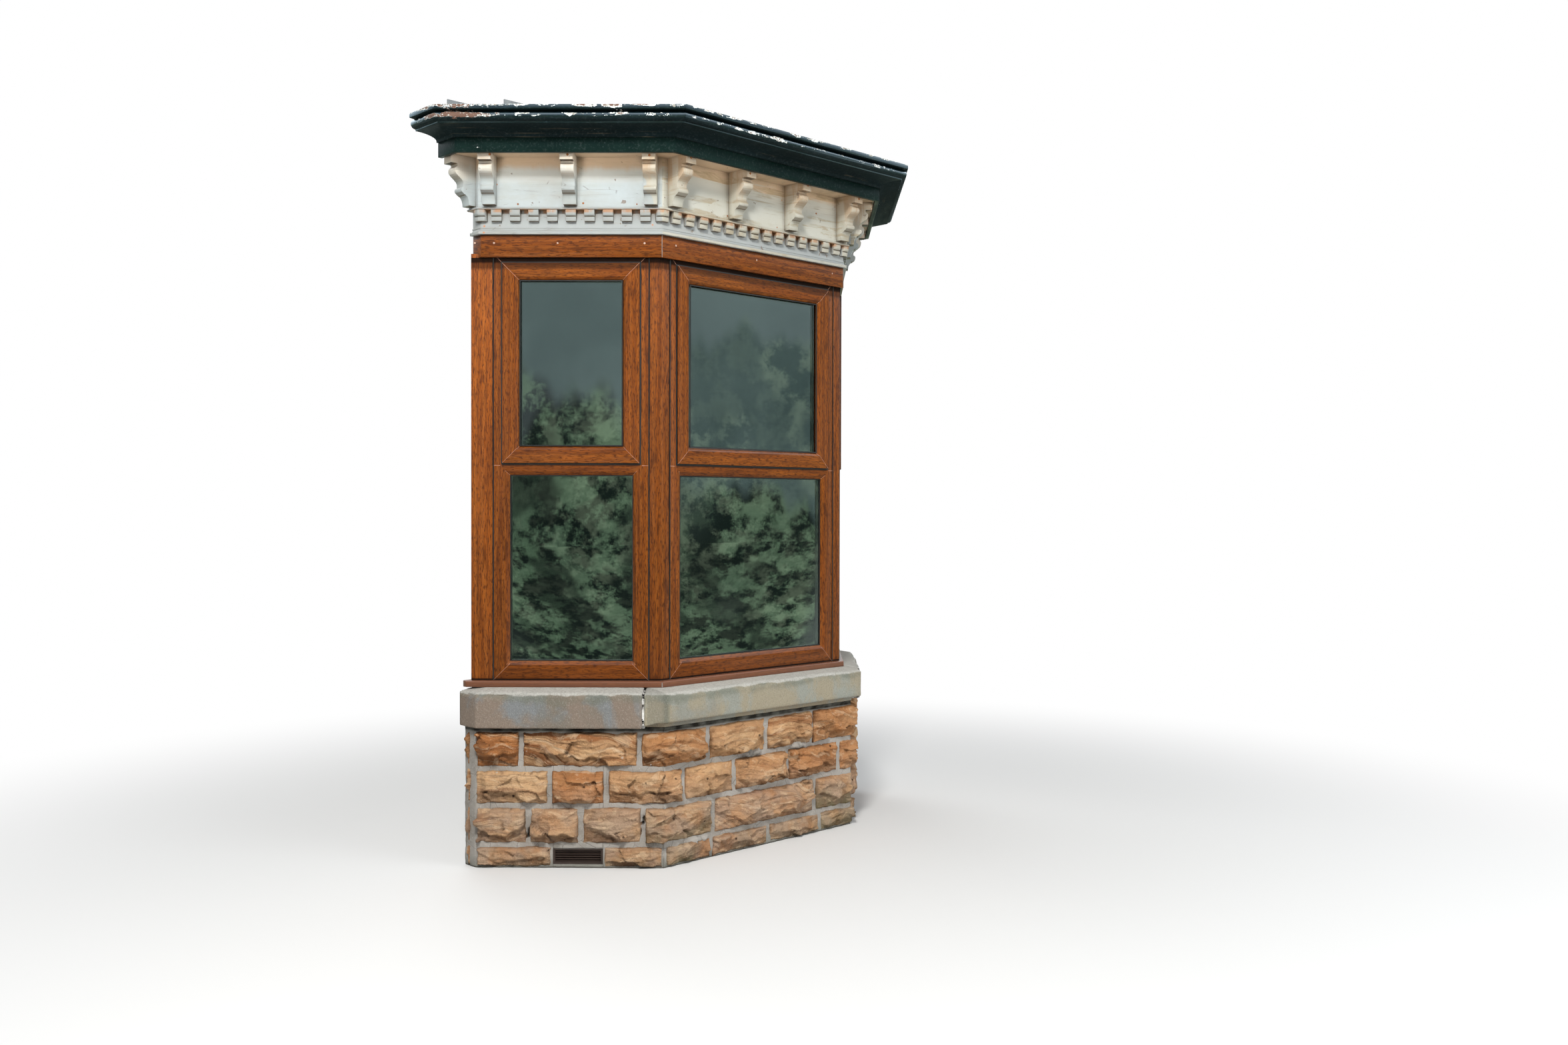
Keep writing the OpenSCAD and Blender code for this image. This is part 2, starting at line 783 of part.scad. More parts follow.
module brackets_left() {
    far = side_w(frieze_out) - bracket_from_corner;
    shift = half_turn * frieze_out;
    color(white_paint) {
        on_side() for (x = [bracket_from_corner, side_w(frieze_out) / 2, far])
            translate([side_face - side_head_w - shift + x, 0, 0]) bracket();
        translate([-head_half_w, wall_y - bracket_w / 2, 0]) rotate([0, 0, -90]) bracket();
    }
}

module brackets_right() {
    mirror_x() brackets_left();
}

module brackets_front() {
    span = front_face_w(frieze_out) - 2 * bracket_from_corner;
    color(white_paint) on_front() for (i = [0:3])
        translate([-half_turn * frieze_out + bracket_from_corner + i * span / 3, 0, 0]) bracket();
}

module soffit() {
    color(white_paint) band(-frame_depth, board_out - board_t, head_half_w,
        soffit_z0, soffit_z0 + soffit_t);
}

module cornice_board() {
    color(black_paint) band(board_out - board_t, board_out, head_half_w, board_z0, gutter_z0);
}

// Gutter: a flat hollow, a roll and an upright lip outside, a trough inside
gutter_back = board_out - 65;
hollow_h = 24;
roll_w = 22;
roll_h = 40;
lip_h = 19;
lip_t = 14;
quirk = 6;
trough_h = 48;
function gutter_profile() =
    let (
        foot = board_out + quirk + 2,
        neck = gutter_out - roll_w - quirk,
        roll_z = gutter_z1 - lip_h - 4 - roll_h / 2,
        wall_in = neck - gutter_t
    )
    concat(
        [[gutter_back, gutter_z0], [foot, gutter_z0]],
        oval(neck - quirk, gutter_z0 + quirk, neck - quirk - foot, hollow_h, 180, 90, 7),
        [[neck, gutter_z0 + quirk + hollow_h]],
        oval(neck, roll_z, roll_w, roll_h / 2, -90, 90, 8),
        [[gutter_out - lip_t - quirk, gutter_z1 - lip_h - 2], [gutter_out, gutter_z1 - lip_h],
        [gutter_out, gutter_z1], [gutter_out - lip_t, gutter_z1],
        [wall_in + 4, roll_z + roll_h / 2], [wall_in, roll_z],
        [wall_in - 12, gutter_z1 - trough_h], [gutter_back + gutter_t, gutter_z1 - trough_h],
        [gutter_back + gutter_t, gutter_z1], [gutter_back, gutter_z1]]
    );

module gutter_left() {
    color(black_paint) left_moulding(gutter_profile(), gutter_back, gutter_out, head_half_w);
}

module gutter_right() {
    mirror_x() gutter_left();
}

module gutter_front() {
    color(black_paint) moulded_length(2, gutter_profile(), gutter_back, gutter_out, head_half_w);
}

// Roof planes rise from the eaves line at this offset and height
eaves_o = gutter_back + gutter_t;
eaves_z = gutter_z1;
rise = tan(roof_pitch);
lead_lap = 20;

// Offset at which the return's plane meets the canted plane on the wall line
function apex_offset() = -(wall_y - shoulder(0, head_half_w).y) / half_turn;
apex_side = [-(head_half_w + apex_offset()), wall_y];
apex_front = [-(front_w / 2 - half_turn * projection), wall_y];

// Plan of each roof plane from the edge at offset o to the wall
function roof_plan(i, o) =
    let (e = left_half(o, head_half_w))
    i == 0 ? [e[0], e[1], apex_side]
    : i == 1 ? [e[1], e[2], apex_front, apex_side]
    : [e[2], mirrored([e[2]])[0], mirrored([apex_front])[0], apex_front];

// A roof layer of thickness t whose underside starts at height z on the eaves line
module roof_plane(i, o, z, t) {
    far = -2 * projection;
    intersection() {
        translate([0, 0, z - reach]) linear_extrude(2 * reach) polygon(roof_plan(i, o));
        translate(i == 0 ? [-head_half_w, front_y, 0] : [corner(0).x, front_y, 0])
            rotate([0, 0, i == 0 ? -90 : i == 1 ? -45 : 0])
            translate([-reach / 2, 0, 0]) rotate([90, 0, 90]) linear_extrude(reach)
            polygon([[-o, z - (o - eaves_o) * rise], [-far, z + (eaves_o - far) * rise],
                [-far, z + (eaves_o - far) * rise + t], [-o, z - (o - eaves_o) * rise + t]]);
    }
}

module roof_layer(o, z, t) {
    both_sides() for (i = [0, 1]) roof_plane(i, o, z, t);
    roof_plane(2, o, z, t);
}

module roof_deck() {
    color(timber) roof_layer(eaves_o, eaves_z, deck_t);
}

// Lead sheets over the boards, turned down at the eaves, with a roll on each hip
module hip_roll(top, foot) {
    run = norm([top.x - foot.x, top.y - foot.y]);
    z_foot = eaves_z + deck_t + lead_t;
    z_top = z_foot + (wall_y - front_y + eaves_o) * rise;
    turn = atan2(top.y - foot.y, top.x - foot.x);
    climb = atan2(foot_rise(foot, top), run);
    intersection() {
        translate([foot.x, foot.y, z_foot]) rotate([0, 0, turn]) rotate([0, 90 - climb, 0])
            translate([0, 0, -5]) cylinder(r = roll_r, h = 3 * run);
        translate([-2 * front_w, wall_y - 3 * projection, z_foot - 3])
            cube([4 * front_w, 3 * projection, z_top]);
    }
}

// Rise of a hip from its foot to its top
function foot_rise(foot, top) = roof_height(top) - roof_height(foot);
function roof_height(p) =
    let (side = (corner(eaves_o).x + corner(eaves_o).y - p.x - p.y) / -sqrt(2),
        front = p.y - corner(eaves_o).y)
    min(side, front) * rise;

module roof_lead() {
    color("lightsteelblue") difference() {
        union() {
            roof_layer(eaves_o + lead_lap, eaves_z + deck_t, lead_t);
            both_sides() hip_roll(apex_front, corner(eaves_o));
            both_sides() hip_roll(apex_side, shoulder(eaves_o, head_half_w));
        }
        roof_layer(eaves_o + lead_lap / 2, eaves_z + deck_t - 3 * roll_r, 3 * roll_r);
    }
}

// Lead flashing on the wall in two steps, with its foot on the roof sheets
flashing_t = 6;
module flashing() {
    top_z = eaves_z + deck_t + lead_t;
    half_l = head_half_w + eaves_o;
    side_rise = (half_l - (head_half_w + apex_offset())) * rise;
    full_rise = (projection + eaves_o) * rise;
    step_x = -apex_side.x;
    color("lightsteelblue") difference() {
        translate([0, wall_y, 0]) rotate([90, 0, 0]) linear_extrude(flashing_t)
            polygon([[-half_l, top_z], [-half_l, top_z + flashing_h],
                [-step_x, top_z + flashing_h], [-step_x, top_z + side_rise + flashing_h],
                [apex_front.x, top_z + side_rise + flashing_h],
                [apex_front.x, top_z + full_rise + flashing_h],
                [-apex_front.x, top_z + full_rise + flashing_h],
                [-apex_front.x, top_z + side_rise + flashing_h],
                [step_x, top_z + side_rise + flashing_h], [step_x, top_z + flashing_h],
                [half_l, top_z + flashing_h], [half_l, top_z]]);
        roof_layer(eaves_o + lead_lap, eaves_z - projection, projection + deck_t + lead_t);
        both_sides() hip_roll(apex_front, corner(eaves_o));
        both_sides() hip_roll(apex_side, shoulder(eaves_o, head_half_w));
    }
}

// Plate on the head, under the rafters
plate_top = eaves_z + eaves_o * rise - rafter_h / cos(roof_pitch);
module eaves_plate() {
    color(timber) band(-frame_depth, 0, head_half_w, soffit_z0 + soffit_t, plate_top);
}

// Plate bolted to the house wall, cut to the slope of the roof boards
wall_plate_t = 50;
module wall_plate() {
    color(timber) intersection() {
        translate([-head_half_w, wall_y - wall_plate_t, plate_top])
            cube([2 * head_half_w, wall_plate_t, projection]);
        roof_layer(eaves_o, eaves_z - projection, projection);
    }
}

// Rafters from the eaves plate to the wall plate
module rafter_run(length) {
    rotate([90, 0, 90]) translate([0, 0, -rafter_w / 2]) linear_extrude(rafter_w)
        polygon([[0, plate_top], [length, plate_top + length * rise],
            [length, eaves_z + (eaves_o + length) * rise], [0, eaves_z + eaves_o * rise]]);
}

rafter_x = (front_w / 2 - half_turn * projection) * 0.8;
side_rafters = [0.35, 0.7];
module rafters() {
    color(timber) {
        for (x = [-rafter_x, 0, rafter_x]) translate([x, front_y, 0])
            rafter_run(projection - wall_plate_t);
        both_sides() on_side() for (s = side_rafters) translate([side_face * s, 0, 0])
            rafter_run(side_face * s - wall_plate_t * sqrt(2) - rafter_w / 2);
    }
}

ceiling_t = 12;
module ceiling() {
    color("white") translate([0, 0, ceiling_z0]) linear_extrude(ceiling_t)
        polygon(outline(-frame_depth, head_half_w));
}

// Window board over the inner part of the plinth
board_nose = 30;
module window_board() {
    board_in = inner_o - plaster_t - board_nose;
    color("white") translate([0, 0, sill_top]) linear_extrude(window_board_t)
        polygon(concat(outline(-frame_depth, no_return), reversed(outline(board_in, head_half_w))));
}

module plaster() {
    color("antiquewhite") band(inner_o - plaster_t, inner_o, head_half_w, floor_z, sill_top);
}

module floor_boards() {
    color(timber) translate([0, 0, floor_z - floor_t]) linear_extrude(floor_t)
        polygon(outline(inner_o, head_half_w));
}

joist_x = front_w / 3;
module floor_joists() {
    color(timber) for (x = [-joist_x, 0, joist_x])
        translate([x - rafter_w / 2, front_y - inner_o, floor_z - floor_t - joist_h])
            cube([rafter_w, projection + inner_o, joist_h]);
}

plinth_left();
plinth_front();
plinth_right();
air_vents();
sill_left();
sill_front();
sill_right();
sub_cill();
jamb_left();
jamb_right();
corner_post_left();
corner_post_right();
window_frame_left();
window_frame_front();
window_frame_right();
casement_left();
casement_front();
casement_right();
glass_left();
glass_front();
glass_right();
spacer_bars();
glazing_beads();
window_handles();
head_beam();
fascia();
dentil_band();
dentils();
ledge();
frieze();
brackets_left();
brackets_front();
brackets_right();
soffit();
cornice_board();
gutter_left();
gutter_front();
gutter_right();
eaves_plate();
wall_plate();
rafters();
roof_deck();
roof_lead();
flashing();
ceiling();
window_board();
plaster();
floor_boards();
floor_joists();
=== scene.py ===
import bpy
import bmesh
import math
import random
from mathutils import Matrix, Vector, noise


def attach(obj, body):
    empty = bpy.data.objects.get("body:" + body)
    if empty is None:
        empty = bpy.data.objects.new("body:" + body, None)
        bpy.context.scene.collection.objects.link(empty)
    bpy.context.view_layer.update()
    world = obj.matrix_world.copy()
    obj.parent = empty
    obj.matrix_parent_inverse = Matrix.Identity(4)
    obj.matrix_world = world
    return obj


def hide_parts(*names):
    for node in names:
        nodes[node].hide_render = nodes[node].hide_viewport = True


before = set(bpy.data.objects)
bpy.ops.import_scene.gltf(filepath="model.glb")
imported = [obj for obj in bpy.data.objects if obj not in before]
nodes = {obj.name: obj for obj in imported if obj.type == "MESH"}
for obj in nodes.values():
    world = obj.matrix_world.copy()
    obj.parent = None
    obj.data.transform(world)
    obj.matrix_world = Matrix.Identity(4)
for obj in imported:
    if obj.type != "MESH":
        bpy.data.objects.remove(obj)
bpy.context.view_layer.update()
scene = bpy.context.scene
print("frame loaded:", len(nodes), "nodes")

# The bay's plan, in metres: o is the distance out from the frames' outer face
bay = {
    "frontW": 1.130,
    "projection": 0.600,
    "wallY": 0.460,
    "headHalfW": 1.107,
    "sillHalfW": 1.085,
    "plinthH": 0.605,
    "plinthOut": 0.060,
    "plinthIn": -0.240,
    "sillBack": -0.090,
    "sillTop": 0.771,
    "sideFace": 0.600 * math.sqrt(2),
    "jambW": 0.125,
    "postFace": 0.051,
    "frameZ0": 0.799,
    "frameH": 1.841,
    "fasciaZ0": 2.6225,
}
bay["frontY"] = bay["wallY"] - bay["projection"]
bay["sideUnitW"] = bay["sideFace"] - bay["jambW"] - bay["postFace"]
bay["frontUnitW"] = bay["frontW"] - 2 * bay["postFace"]
halfTurn = math.tan(math.radians(22.5))
diag = math.sqrt(0.5)


def cornerAt(o):
    return Vector((-(bay["frontW"] / 2 + halfTurn * o), bay["frontY"] - o))


def shoulderAt(o, h):
    c = cornerAt(o)
    return Vector((-(h + o), c.x + c.y + h + o))


def offsetOf(x, y, h):  # how far a plan point lies out from the frame line
    x = abs(x)
    return max(-y + bay["frontY"], (x - y - bay["frontW"] / 2 + bay["frontY"]) * diag, x - h)


# Node building. A Wire is a socket to reckon with: a + b, a - b and a * b lay down Math nodes
bench = {"tree": None}     # the node tree under work


class Wire:
    def __init__(self, socket):
        self.socket = socket

    def __add__(self, other):
        return calc("ADD", self, other)

    def __radd__(self, other):
        return calc("ADD", other, self)

    def __sub__(self, other):
        return calc("SUBTRACT", self, other)

    def __rsub__(self, other):
        return calc("SUBTRACT", other, self)

    def __mul__(self, other):
        return calc("MULTIPLY", self, other)


class Node:  # node[key] is an output
    def __init__(self, kind, inputs=None, **settings):
        self.node = bench["tree"].nodes.new(kind)
        for key, value in settings.items():
            setattr(self.node, key, value)
        self.feed(inputs or {})

    def feed(self, inputs):
        for key, value in inputs.items():
            socket = self.node.inputs[key]
            if isinstance(value, Wire):
                bench["tree"].links.new(value.socket, socket)
            else:
                socket.default_value = (*value, 1.0) if socket.type == "RGBA" else value

    def __getitem__(self, key):
        return Wire(self.node.outputs[key])


def calc(operation, a, b=0.0, clamp=False):
    return Node("ShaderNodeMath", {0: a, 1: b}, operation=operation, use_clamp=clamp)[0]


def vecCalc(operation, a, b=(0, 0, 0)):
    node = Node("ShaderNodeVectorMath", {0: a, 1: b}, operation=operation)
    return node["Value" if operation in ("DOT_PRODUCT", "LENGTH") else "Vector"]


def vector(x, y, z):
    return Node("ShaderNodeCombineXYZ", {0: x, 1: y, 2: z})[0]


def axes(v):
    return Node("ShaderNodeSeparateXYZ", {0: v})


def channels(c):
    return Node("ShaderNodeSeparateColor", {0: c})


def blend(factor, a, b, mode="MIX"):
    return Node("ShaderNodeMix", {0: factor, 6: a, 7: b}, data_type="RGBA", blend_type=mode)[2]


def remap(value, low, high, toLow=0.0, toHigh=1.0):
    return Node("ShaderNodeMapRange", {0: value, 1: low, 2: high, 3: toLow, 4: toHigh},
                interpolation_type="SMOOTHSTEP")[0]


def fade(value, low, high, top=1.0):  # from the top at low down to nothing at high
    return remap(value, low, high, top, 0.0)


def scaled(tint, share):
    return tuple(c * share for c in tint)


def wash(base, tint, where, low, high, amount=1.0):  # lays a tint over the base from low to high
    return blend(remap(where, low, high, 0.0, amount), base, tint)


class Coat:  # a colour built up in layers, with the tints of one palette
    def __init__(self, palette, first):
        self.palette = palette
        self.base = palette[first]

    def lay(self, tint, share, mode="MIX"):
        self.base = blend(share, self.base, self.palette[tint], mode)

    def wash(self, tint, where, low, high, amount=1.0):
        self.lay(tint, remap(where, low, high, 0.0, amount))


def cloud(v, scale=1.0, detail=3.0, roughness=0.55, distortion=0.0):
    return Node("ShaderNodeTexNoise", {"Vector": v, "Scale": scale, "Detail": detail, "Roughness": roughness,
                                       "Distortion": distortion})["Fac"]


def cells(v, scale, feature="F1"):
    return Node("ShaderNodeTexVoronoi", {"Vector": v, "Scale": scale}, feature=feature)


def stretch(v, scale, spin=(0, 0, 0), shift=(0, 0, 0)):
    inputs = {"Vector": v, "Scale": scale, "Rotation": spin, "Location": shift}
    return Node("ShaderNodeMapping", inputs)["Vector"]


def bump(height, distance, strength=1.0):
    return Node("ShaderNodeBump", {"Height": height, "Distance": distance, "Strength": strength})["Normal"]


def hollows(reach):  # 1 deep in a corner, 0 in the open; colours darkened with it are painted shade
    clear = Node("ShaderNodeAmbientOcclusion", {"Distance": reach}, samples=6)["AO"]
    return calc("SUBTRACT", 1.0, clear, clamp=True)


def wire(shader, base, height, depth, strength=1.0, rough=None):
    shader.feed({"Base Color": base, "Normal": bump(height, depth, strength)})
    if rough:
        shader.feed({"Roughness": rough})


def faceNormal():
    return Node("ShaderNodeNewGeometry")["True Normal"]


def levelRun(at, depth):  # a vector along the face on level pieces, whatever way they face on the plan
    side = vecCalc("CROSS_PRODUCT", faceNormal(), (0, 0, 1))
    return vector(vecCalc("DOT_PRODUCT", at, side), axes(at)[2], depth)


def newMaterial(name, roughness, specular, metallic=0.0):
    mat = bpy.data.materials.new(name)
    mat.use_nodes = True
    bench["tree"] = mat.node_tree
    mat.node_tree.nodes.clear()
    shader = Node("ShaderNodeBsdfPrincipled",
                  {"Roughness": roughness, "Specular IOR Level": specular, "Metallic": metallic})
    Node("ShaderNodeOutputMaterial", {0: shader[0]})
    return mat, shader, Node("ShaderNodeTexCoord")["Object"]


def newTree(kind, name, inputs, outputs):
    bench["tree"] = bpy.data.node_groups.new(name, kind)
    for way, sockets in (("INPUT", inputs), ("OUTPUT", outputs)):
        for label, socket in sockets.items():
            bench["tree"].interface.new_socket(label, in_out=way, socket_type="NodeSocket" + socket)
    return Node("NodeGroupInput"), Node("NodeGroupOutput")


def place(group, **inputs):
    node = Node("ShaderNodeGroup", node_tree=group)
    node.feed(inputs)
    return node


# Wood grain along the first axis of Vector: streaks, pores and a wavy figure
def makeGrain():
    given, result = newTree("ShaderNodeTree", "grain", {"Vector": "Vector"},
                            {"Streaks": "Float", "Pores": "Float", "Figure": "Float"})
    run = given["Vector"]
    wave = Node("ShaderNodeTexWave", {"Vector": stretch(run, (1.1, 11, 11)), "Scale": 1.0, "Distortion": 7.0,
                "Detail": 3.0, "Detail Scale": 1.2}, wave_type="BANDS", bands_direction="Y")
    result.feed({"Streaks": cloud(stretch(run, (3.6, 75, 75)), 1.0, 5.0, 0.62, 0.7),
                 "Pores": cloud(stretch(run, (16, 420, 420)), 1.0, 3.0, 0.6, 0.2),
                 "Figure": wave["Fac"]})
    return bench["tree"]


# Weathering: large stains, small specks and fine grit
def makeWeather():
    given, result = newTree("ShaderNodeTree", "weather", {"Vector": "Vector", "Size": "Float"},
                            {"Stains": "Float", "Specks": "Float", "Grit": "Float"})
    at, size = given["Vector"], given["Size"]
    result.feed({"Stains": cloud(at, size * 4.5, 5.0, 0.62, 0.4),
                 "Specks": cloud(at, size * 95.0, 2.0, 0.6),
                 "Grit": cloud(at, size * 520.0, 2.0, 0.7)})
    return bench["tree"]


grain = makeGrain()
weather = makeWeather()

# Stone, mortar and sill finishes

sandstone = {
    "buff": (0.68, 0.435, 0.235),
    "orange": (0.48, 0.200, 0.070),
    "brown": (0.095, 0.040, 0.019),
    "band": (0.30, 0.115, 0.042),
    "algae": (0.14, 0.14, 0.075),
    "grey": (0.46, 0.355, 0.27),
    "pale": (0.78, 0.58, 0.38),
    # corner: painted shade in hollows
    "corner": (0.045, 0.024, 0.015),
    "pit": (0.05, 0.028, 0.018),
    "spot": (0.58, 0.52, 0.44),
    "fleck": (0.80, 0.62, 0.42),
    "grit": (0.14, 0.07, 0.035),
    "sootZ": (0.42, 0.16),         # the wall turns grey downwards between these heights
}


def fewSpots(v, scale, low, high, channel, rare):  # round spots in the few cells whose colour is over rare
    found = cells(v, scale)
    return fade(found["Distance"], low, high) * calc("GREATER_THAN", channels(found["Color"])[channel], rare)


# Each stone carries its own colours in stoneTone: red is buff against orange, green is darkening, mostly
# painted shade at the edges, in creases and under the broken foot, partly dirt (on the pointing, painted
# shade in holes and under the sill), blue is algae, alpha is the stone's number plus the strength of its
# bedding
def stoneMarks():
    marks = Node("ShaderNodeAttribute", attribute_name="stoneTone")
    return channels(marks["Color"]), marks["Alpha"]


def makeSandstone():
    mat, shader, at = newMaterial("sandstone rock face", 0.88, 0.22)
    part, alpha = stoneMarks()
    number, bedded = calc("FLOOR", alpha), calc("FRACT", alpha)
    w = place(weather, Vector=at, Size=1.0)
    own = vecCalc("ADD", at, vector(number * 0.7, 0.0, number * 1.37))
    xyz = axes(own)
    lean = calc("SINE", number * 12.9) * (bedded * 0.35)
    sway = (cloud(own, 4.0, 1.5, 0.4) - 0.5) * (bedded * 0.26 + 0.03)
    layer = vector(xyz[0], xyz[1], xyz[2] + xyz[0] * lean + sway)
    beds = cloud(stretch(layer, (1.6, 1.6, 34)), 1.0, 4.0, 0.6)
    lines = cloud(stretch(layer, (3.0, 3.0, 120)), 1.0, 3.0, 0.62)
    tone = calc("ADD", part[0], (cloud(own, 7.0, 3.0, 0.6) - 0.5) * 1.1, clamp=True)
    coat = Coat(sandstone, "orange")
    coat.lay("buff", tone)
    coat.lay("band", remap(beds, 0.50, 0.64) * calc("ADD", bedded, 0.16, clamp=True))
    coat.lay("pale", remap(beds, 0.42, 0.33) * (bedded * 0.9))
    coat.lay("brown", remap(lines, 0.54, 0.68) * (bedded * 0.65 + 0.10))
    coat.wash("brown", w["Stains"], 0.56, 0.74, 0.32)
    soot = remap(axes(at)[2], *sandstone["sootZ"]) * remap(cloud(own, 9.0), 0.35, 0.60, 0.20, 0.70)
    coat.lay("grey", soot)
    # Painted shade, partly dirt, where the green channel says, then painted shade in hollows
    coat.lay("brown", part[1] * 0.80)
    coat.wash("corner", hollows(0.04), 0.28, 0.75, 0.85)
    coat.lay("algae", part[2] * remap(w["Stains"], 0.35, 0.6))
    pit = fewSpots(own, 24.0, 0.09, 0.16, 0, 0.86)
    coat.lay("pit", pit * 0.85)
    coat.lay("spot", fewSpots(own, 13.0, 0.05, 0.08, 1, 0.90) * 0.7)
    coat.wash("fleck", w["Specks"], 0.60, 0.80, 0.25)
    coat.lay("grit", fade(w["Grit"], 0.30, 0.62, 0.20))
    rough = cloud(own, 38.0, 5.0, 0.72)
    chipped = cloud(stretch(layer, (9, 9, 24)), 1.0, 6.0, 0.64, 0.8)
    # Browner where the rough and chipped bumps sink, paler where they rise: partly the stone's own colour,
    # partly painted shade and highlight
    coat.wash("brown", rough, 0.40, 0.32, 0.30)
    coat.wash("brown", chipped, 0.42, 0.36, 0.34)
    coat.wash("pale", chipped, 0.55, 0.61, 0.34)
    coat.wash("pale", rough, 0.60, 0.70, 0.25)
    height = rough * 2.6 + chipped * 2.5 + w["Grit"] * 0.25
    height = height + (beds + lines * 0.9) * (bedded + 0.5) - pit * 2.0
    wire(shader, coat.base, height, 0.0058)
    return mat


mortar = {
    "grey": (0.42, 0.395, 0.36),
    "dull": (0.31, 0.285, 0.25),
    "sand": (0.58, 0.57, 0.54),
    "crack": (0.10, 0.09, 0.08),
    "algae": (0.17, 0.18, 0.15),
    # The last two are painted shade: in hollows, and near black in holes and in the bed under the sill
    "corner": (0.06, 0.05, 0.04),
    "missing": (0.02, 0.018, 0.015),
}


def makeMortar():
    mat, shader, at = newMaterial("grey pointing", 0.92, 0.2)
    w = place(weather, Vector=at, Size=1.2)
    coat = Coat(mortar, "grey")
    coat.wash("dull", w["Stains"], 0.4, 0.7)
    coat.wash("sand", w["Specks"], 0.58, 0.75, 0.5)
    crack = cells(at, 9.0, "DISTANCE_TO_EDGE")["Distance"]
    coat.lay("crack", fade(crack, 0.0, 0.012, 0.55))
    part = stoneMarks()[0]
    coat.lay("algae", part[2])
    # Painted shade in hollows, then near black in holes and under the sill, also painted shade
    coat.wash("corner", hollows(0.018), 0.25, 0.75, 0.8)
    coat.lay("missing", part[1])
    wire(shader, coat.base, w["Grit"] + w["Specks"] * 1.5, 0.0025, 0.8)
    return mat


sillLook = {
    # lift is each stone's brightness: partly its own tone, partly painted shade on the canted stone and
    # painted light on the front, evening out the lamps
    "left": {"shift": (0.0, 0.0, 5.0), "lift": 0.82, "warm": (0.30, 0.235, 0.185),
             "cool": (0.265, 0.28, 0.285), "turned": 0.0},
    "front": {"shift": (4.0, 1.0, 0.0), "lift": 1.10, "warm": (0.325, 0.285, 0.205),
              "cool": (0.29, 0.30, 0.26), "turned": 0.40},     # how much its short return is darkened
    "dull": (0.215, 0.20, 0.165),
    "algae": (0.155, 0.165, 0.125),
    # worn: the pale worn top, partly a painted highlight where it faces the sky
    "worn": (0.50, 0.49, 0.45),
    "drip": (0.12, 0.13, 0.10),
    "return": (0.135, 0.14, 0.12),
    "grit": (0.13, 0.12, 0.10),
    "dark": (0.12, 0.11, 0.09),
    "light": (0.42, 0.40, 0.36),
    "wornZ": (0.743, 0.750),       # heights over which the pale worn top, partly a painted highlight, and the algae set in
    "algaeZ": (0.705, 0.738),
    "dripX": 0.612,                # a stain runs down beside the front's left corner
    "returnX": (-0.606, -0.616, -0.672),   # where the short return starts, is full and ends
    "faceY": (-0.225, -0.215),     # only the front face lies beyond this
}


def makeSillStone(name, own):
    mat, shader, at = newMaterial(name, 0.84, 0.25)
    w = place(weather, Vector=at, Size=0.9)
    xyz = axes(at)
    look = {**sillLook, **own}
    look.update({key: scaled(look[key], own["lift"]) for key in ("warm", "cool", "dull")})
    patches = cloud(stretch(at, (3.0, 3.0, 2.6), shift=own["shift"]), 1.5, 6.0, 0.60, 0.6)
    coat = Coat(look, "warm")
    coat.wash("cool", patches, 0.48, 0.60)
    coat.wash("dull", w["Stains"], 0.52, 0.70, 0.55)
    edge = cloud(stretch(at, (9, 9, 3)), 1.0, 4.0, 0.65)
    # Pale top, worn and partly a painted highlight where it faces the sky
    worn = remap(xyz[2] + (edge - 0.5) * 0.030, *sillLook["wornZ"])
    algae = remap(xyz[2] + (w["Stains"] - 0.5) * 0.11, *sillLook["algaeZ"])
    coat.lay("algae", algae * remap(patches, 0.36, 0.58, 0.15, 0.62))
    coat.lay("worn", worn * remap(w["Specks"], 0.3, 0.6, 0.65, 1.0))
    drip = fade(calc("ABSOLUTE", xyz[0] + sillLook["dripX"]), 0.0, 0.020, 0.80)
    drip = drip * remap(w["Stains"], 0.35, 0.6, 0.4, 1.0) * fade(xyz[1], *sillLook["faceY"])
    coat.lay("drip", drip * (1.0 - worn))
    coat.lay("grit", fade(w["Grit"], 0.32, 0.60, 0.22))
    near, far, end = sillLook["returnX"]
    turned = remap(xyz[0], near, far) * calc("GREATER_THAN", xyz[0], end)
    coat.lay("return", turned * own["turned"])
    spots = cloud(at, 160.0, 3.0, 0.7)
    coat.wash("dark", spots, 0.52, 0.66, 0.30)
    coat.wash("light", spots, 0.44, 0.34, 0.35)
    wire(shader, coat.base, w["Grit"] * 0.6 + w["Specks"] - spots, 0.0022, 0.9)
    return mat


def makeJointMortar():
    mat, shader, at = newMaterial("white joint mortar", 0.85, 0.25)
    w = place(weather, Vector=at, Size=2.0)
    base = wash((0.50, 0.49, 0.46), (0.66, 0.65, 0.62), w["Stains"], 0.4, 0.6)
    # Black gaps where mortar is missing: painted shade
    missing = cloud(stretch(at, (30, 30, 34)), 1.0, 3.0, 0.6) + remap(axes(at)[2], 0.728, 0.742, 0.0, 0.12)
    gap = remap(missing, 0.530, 0.555)
    base = blend(gap, base, (0.012, 0.011, 0.010))
    wire(shader, base, w["Specks"] - gap * 3.0, 0.0012, 0.8)
    return mat


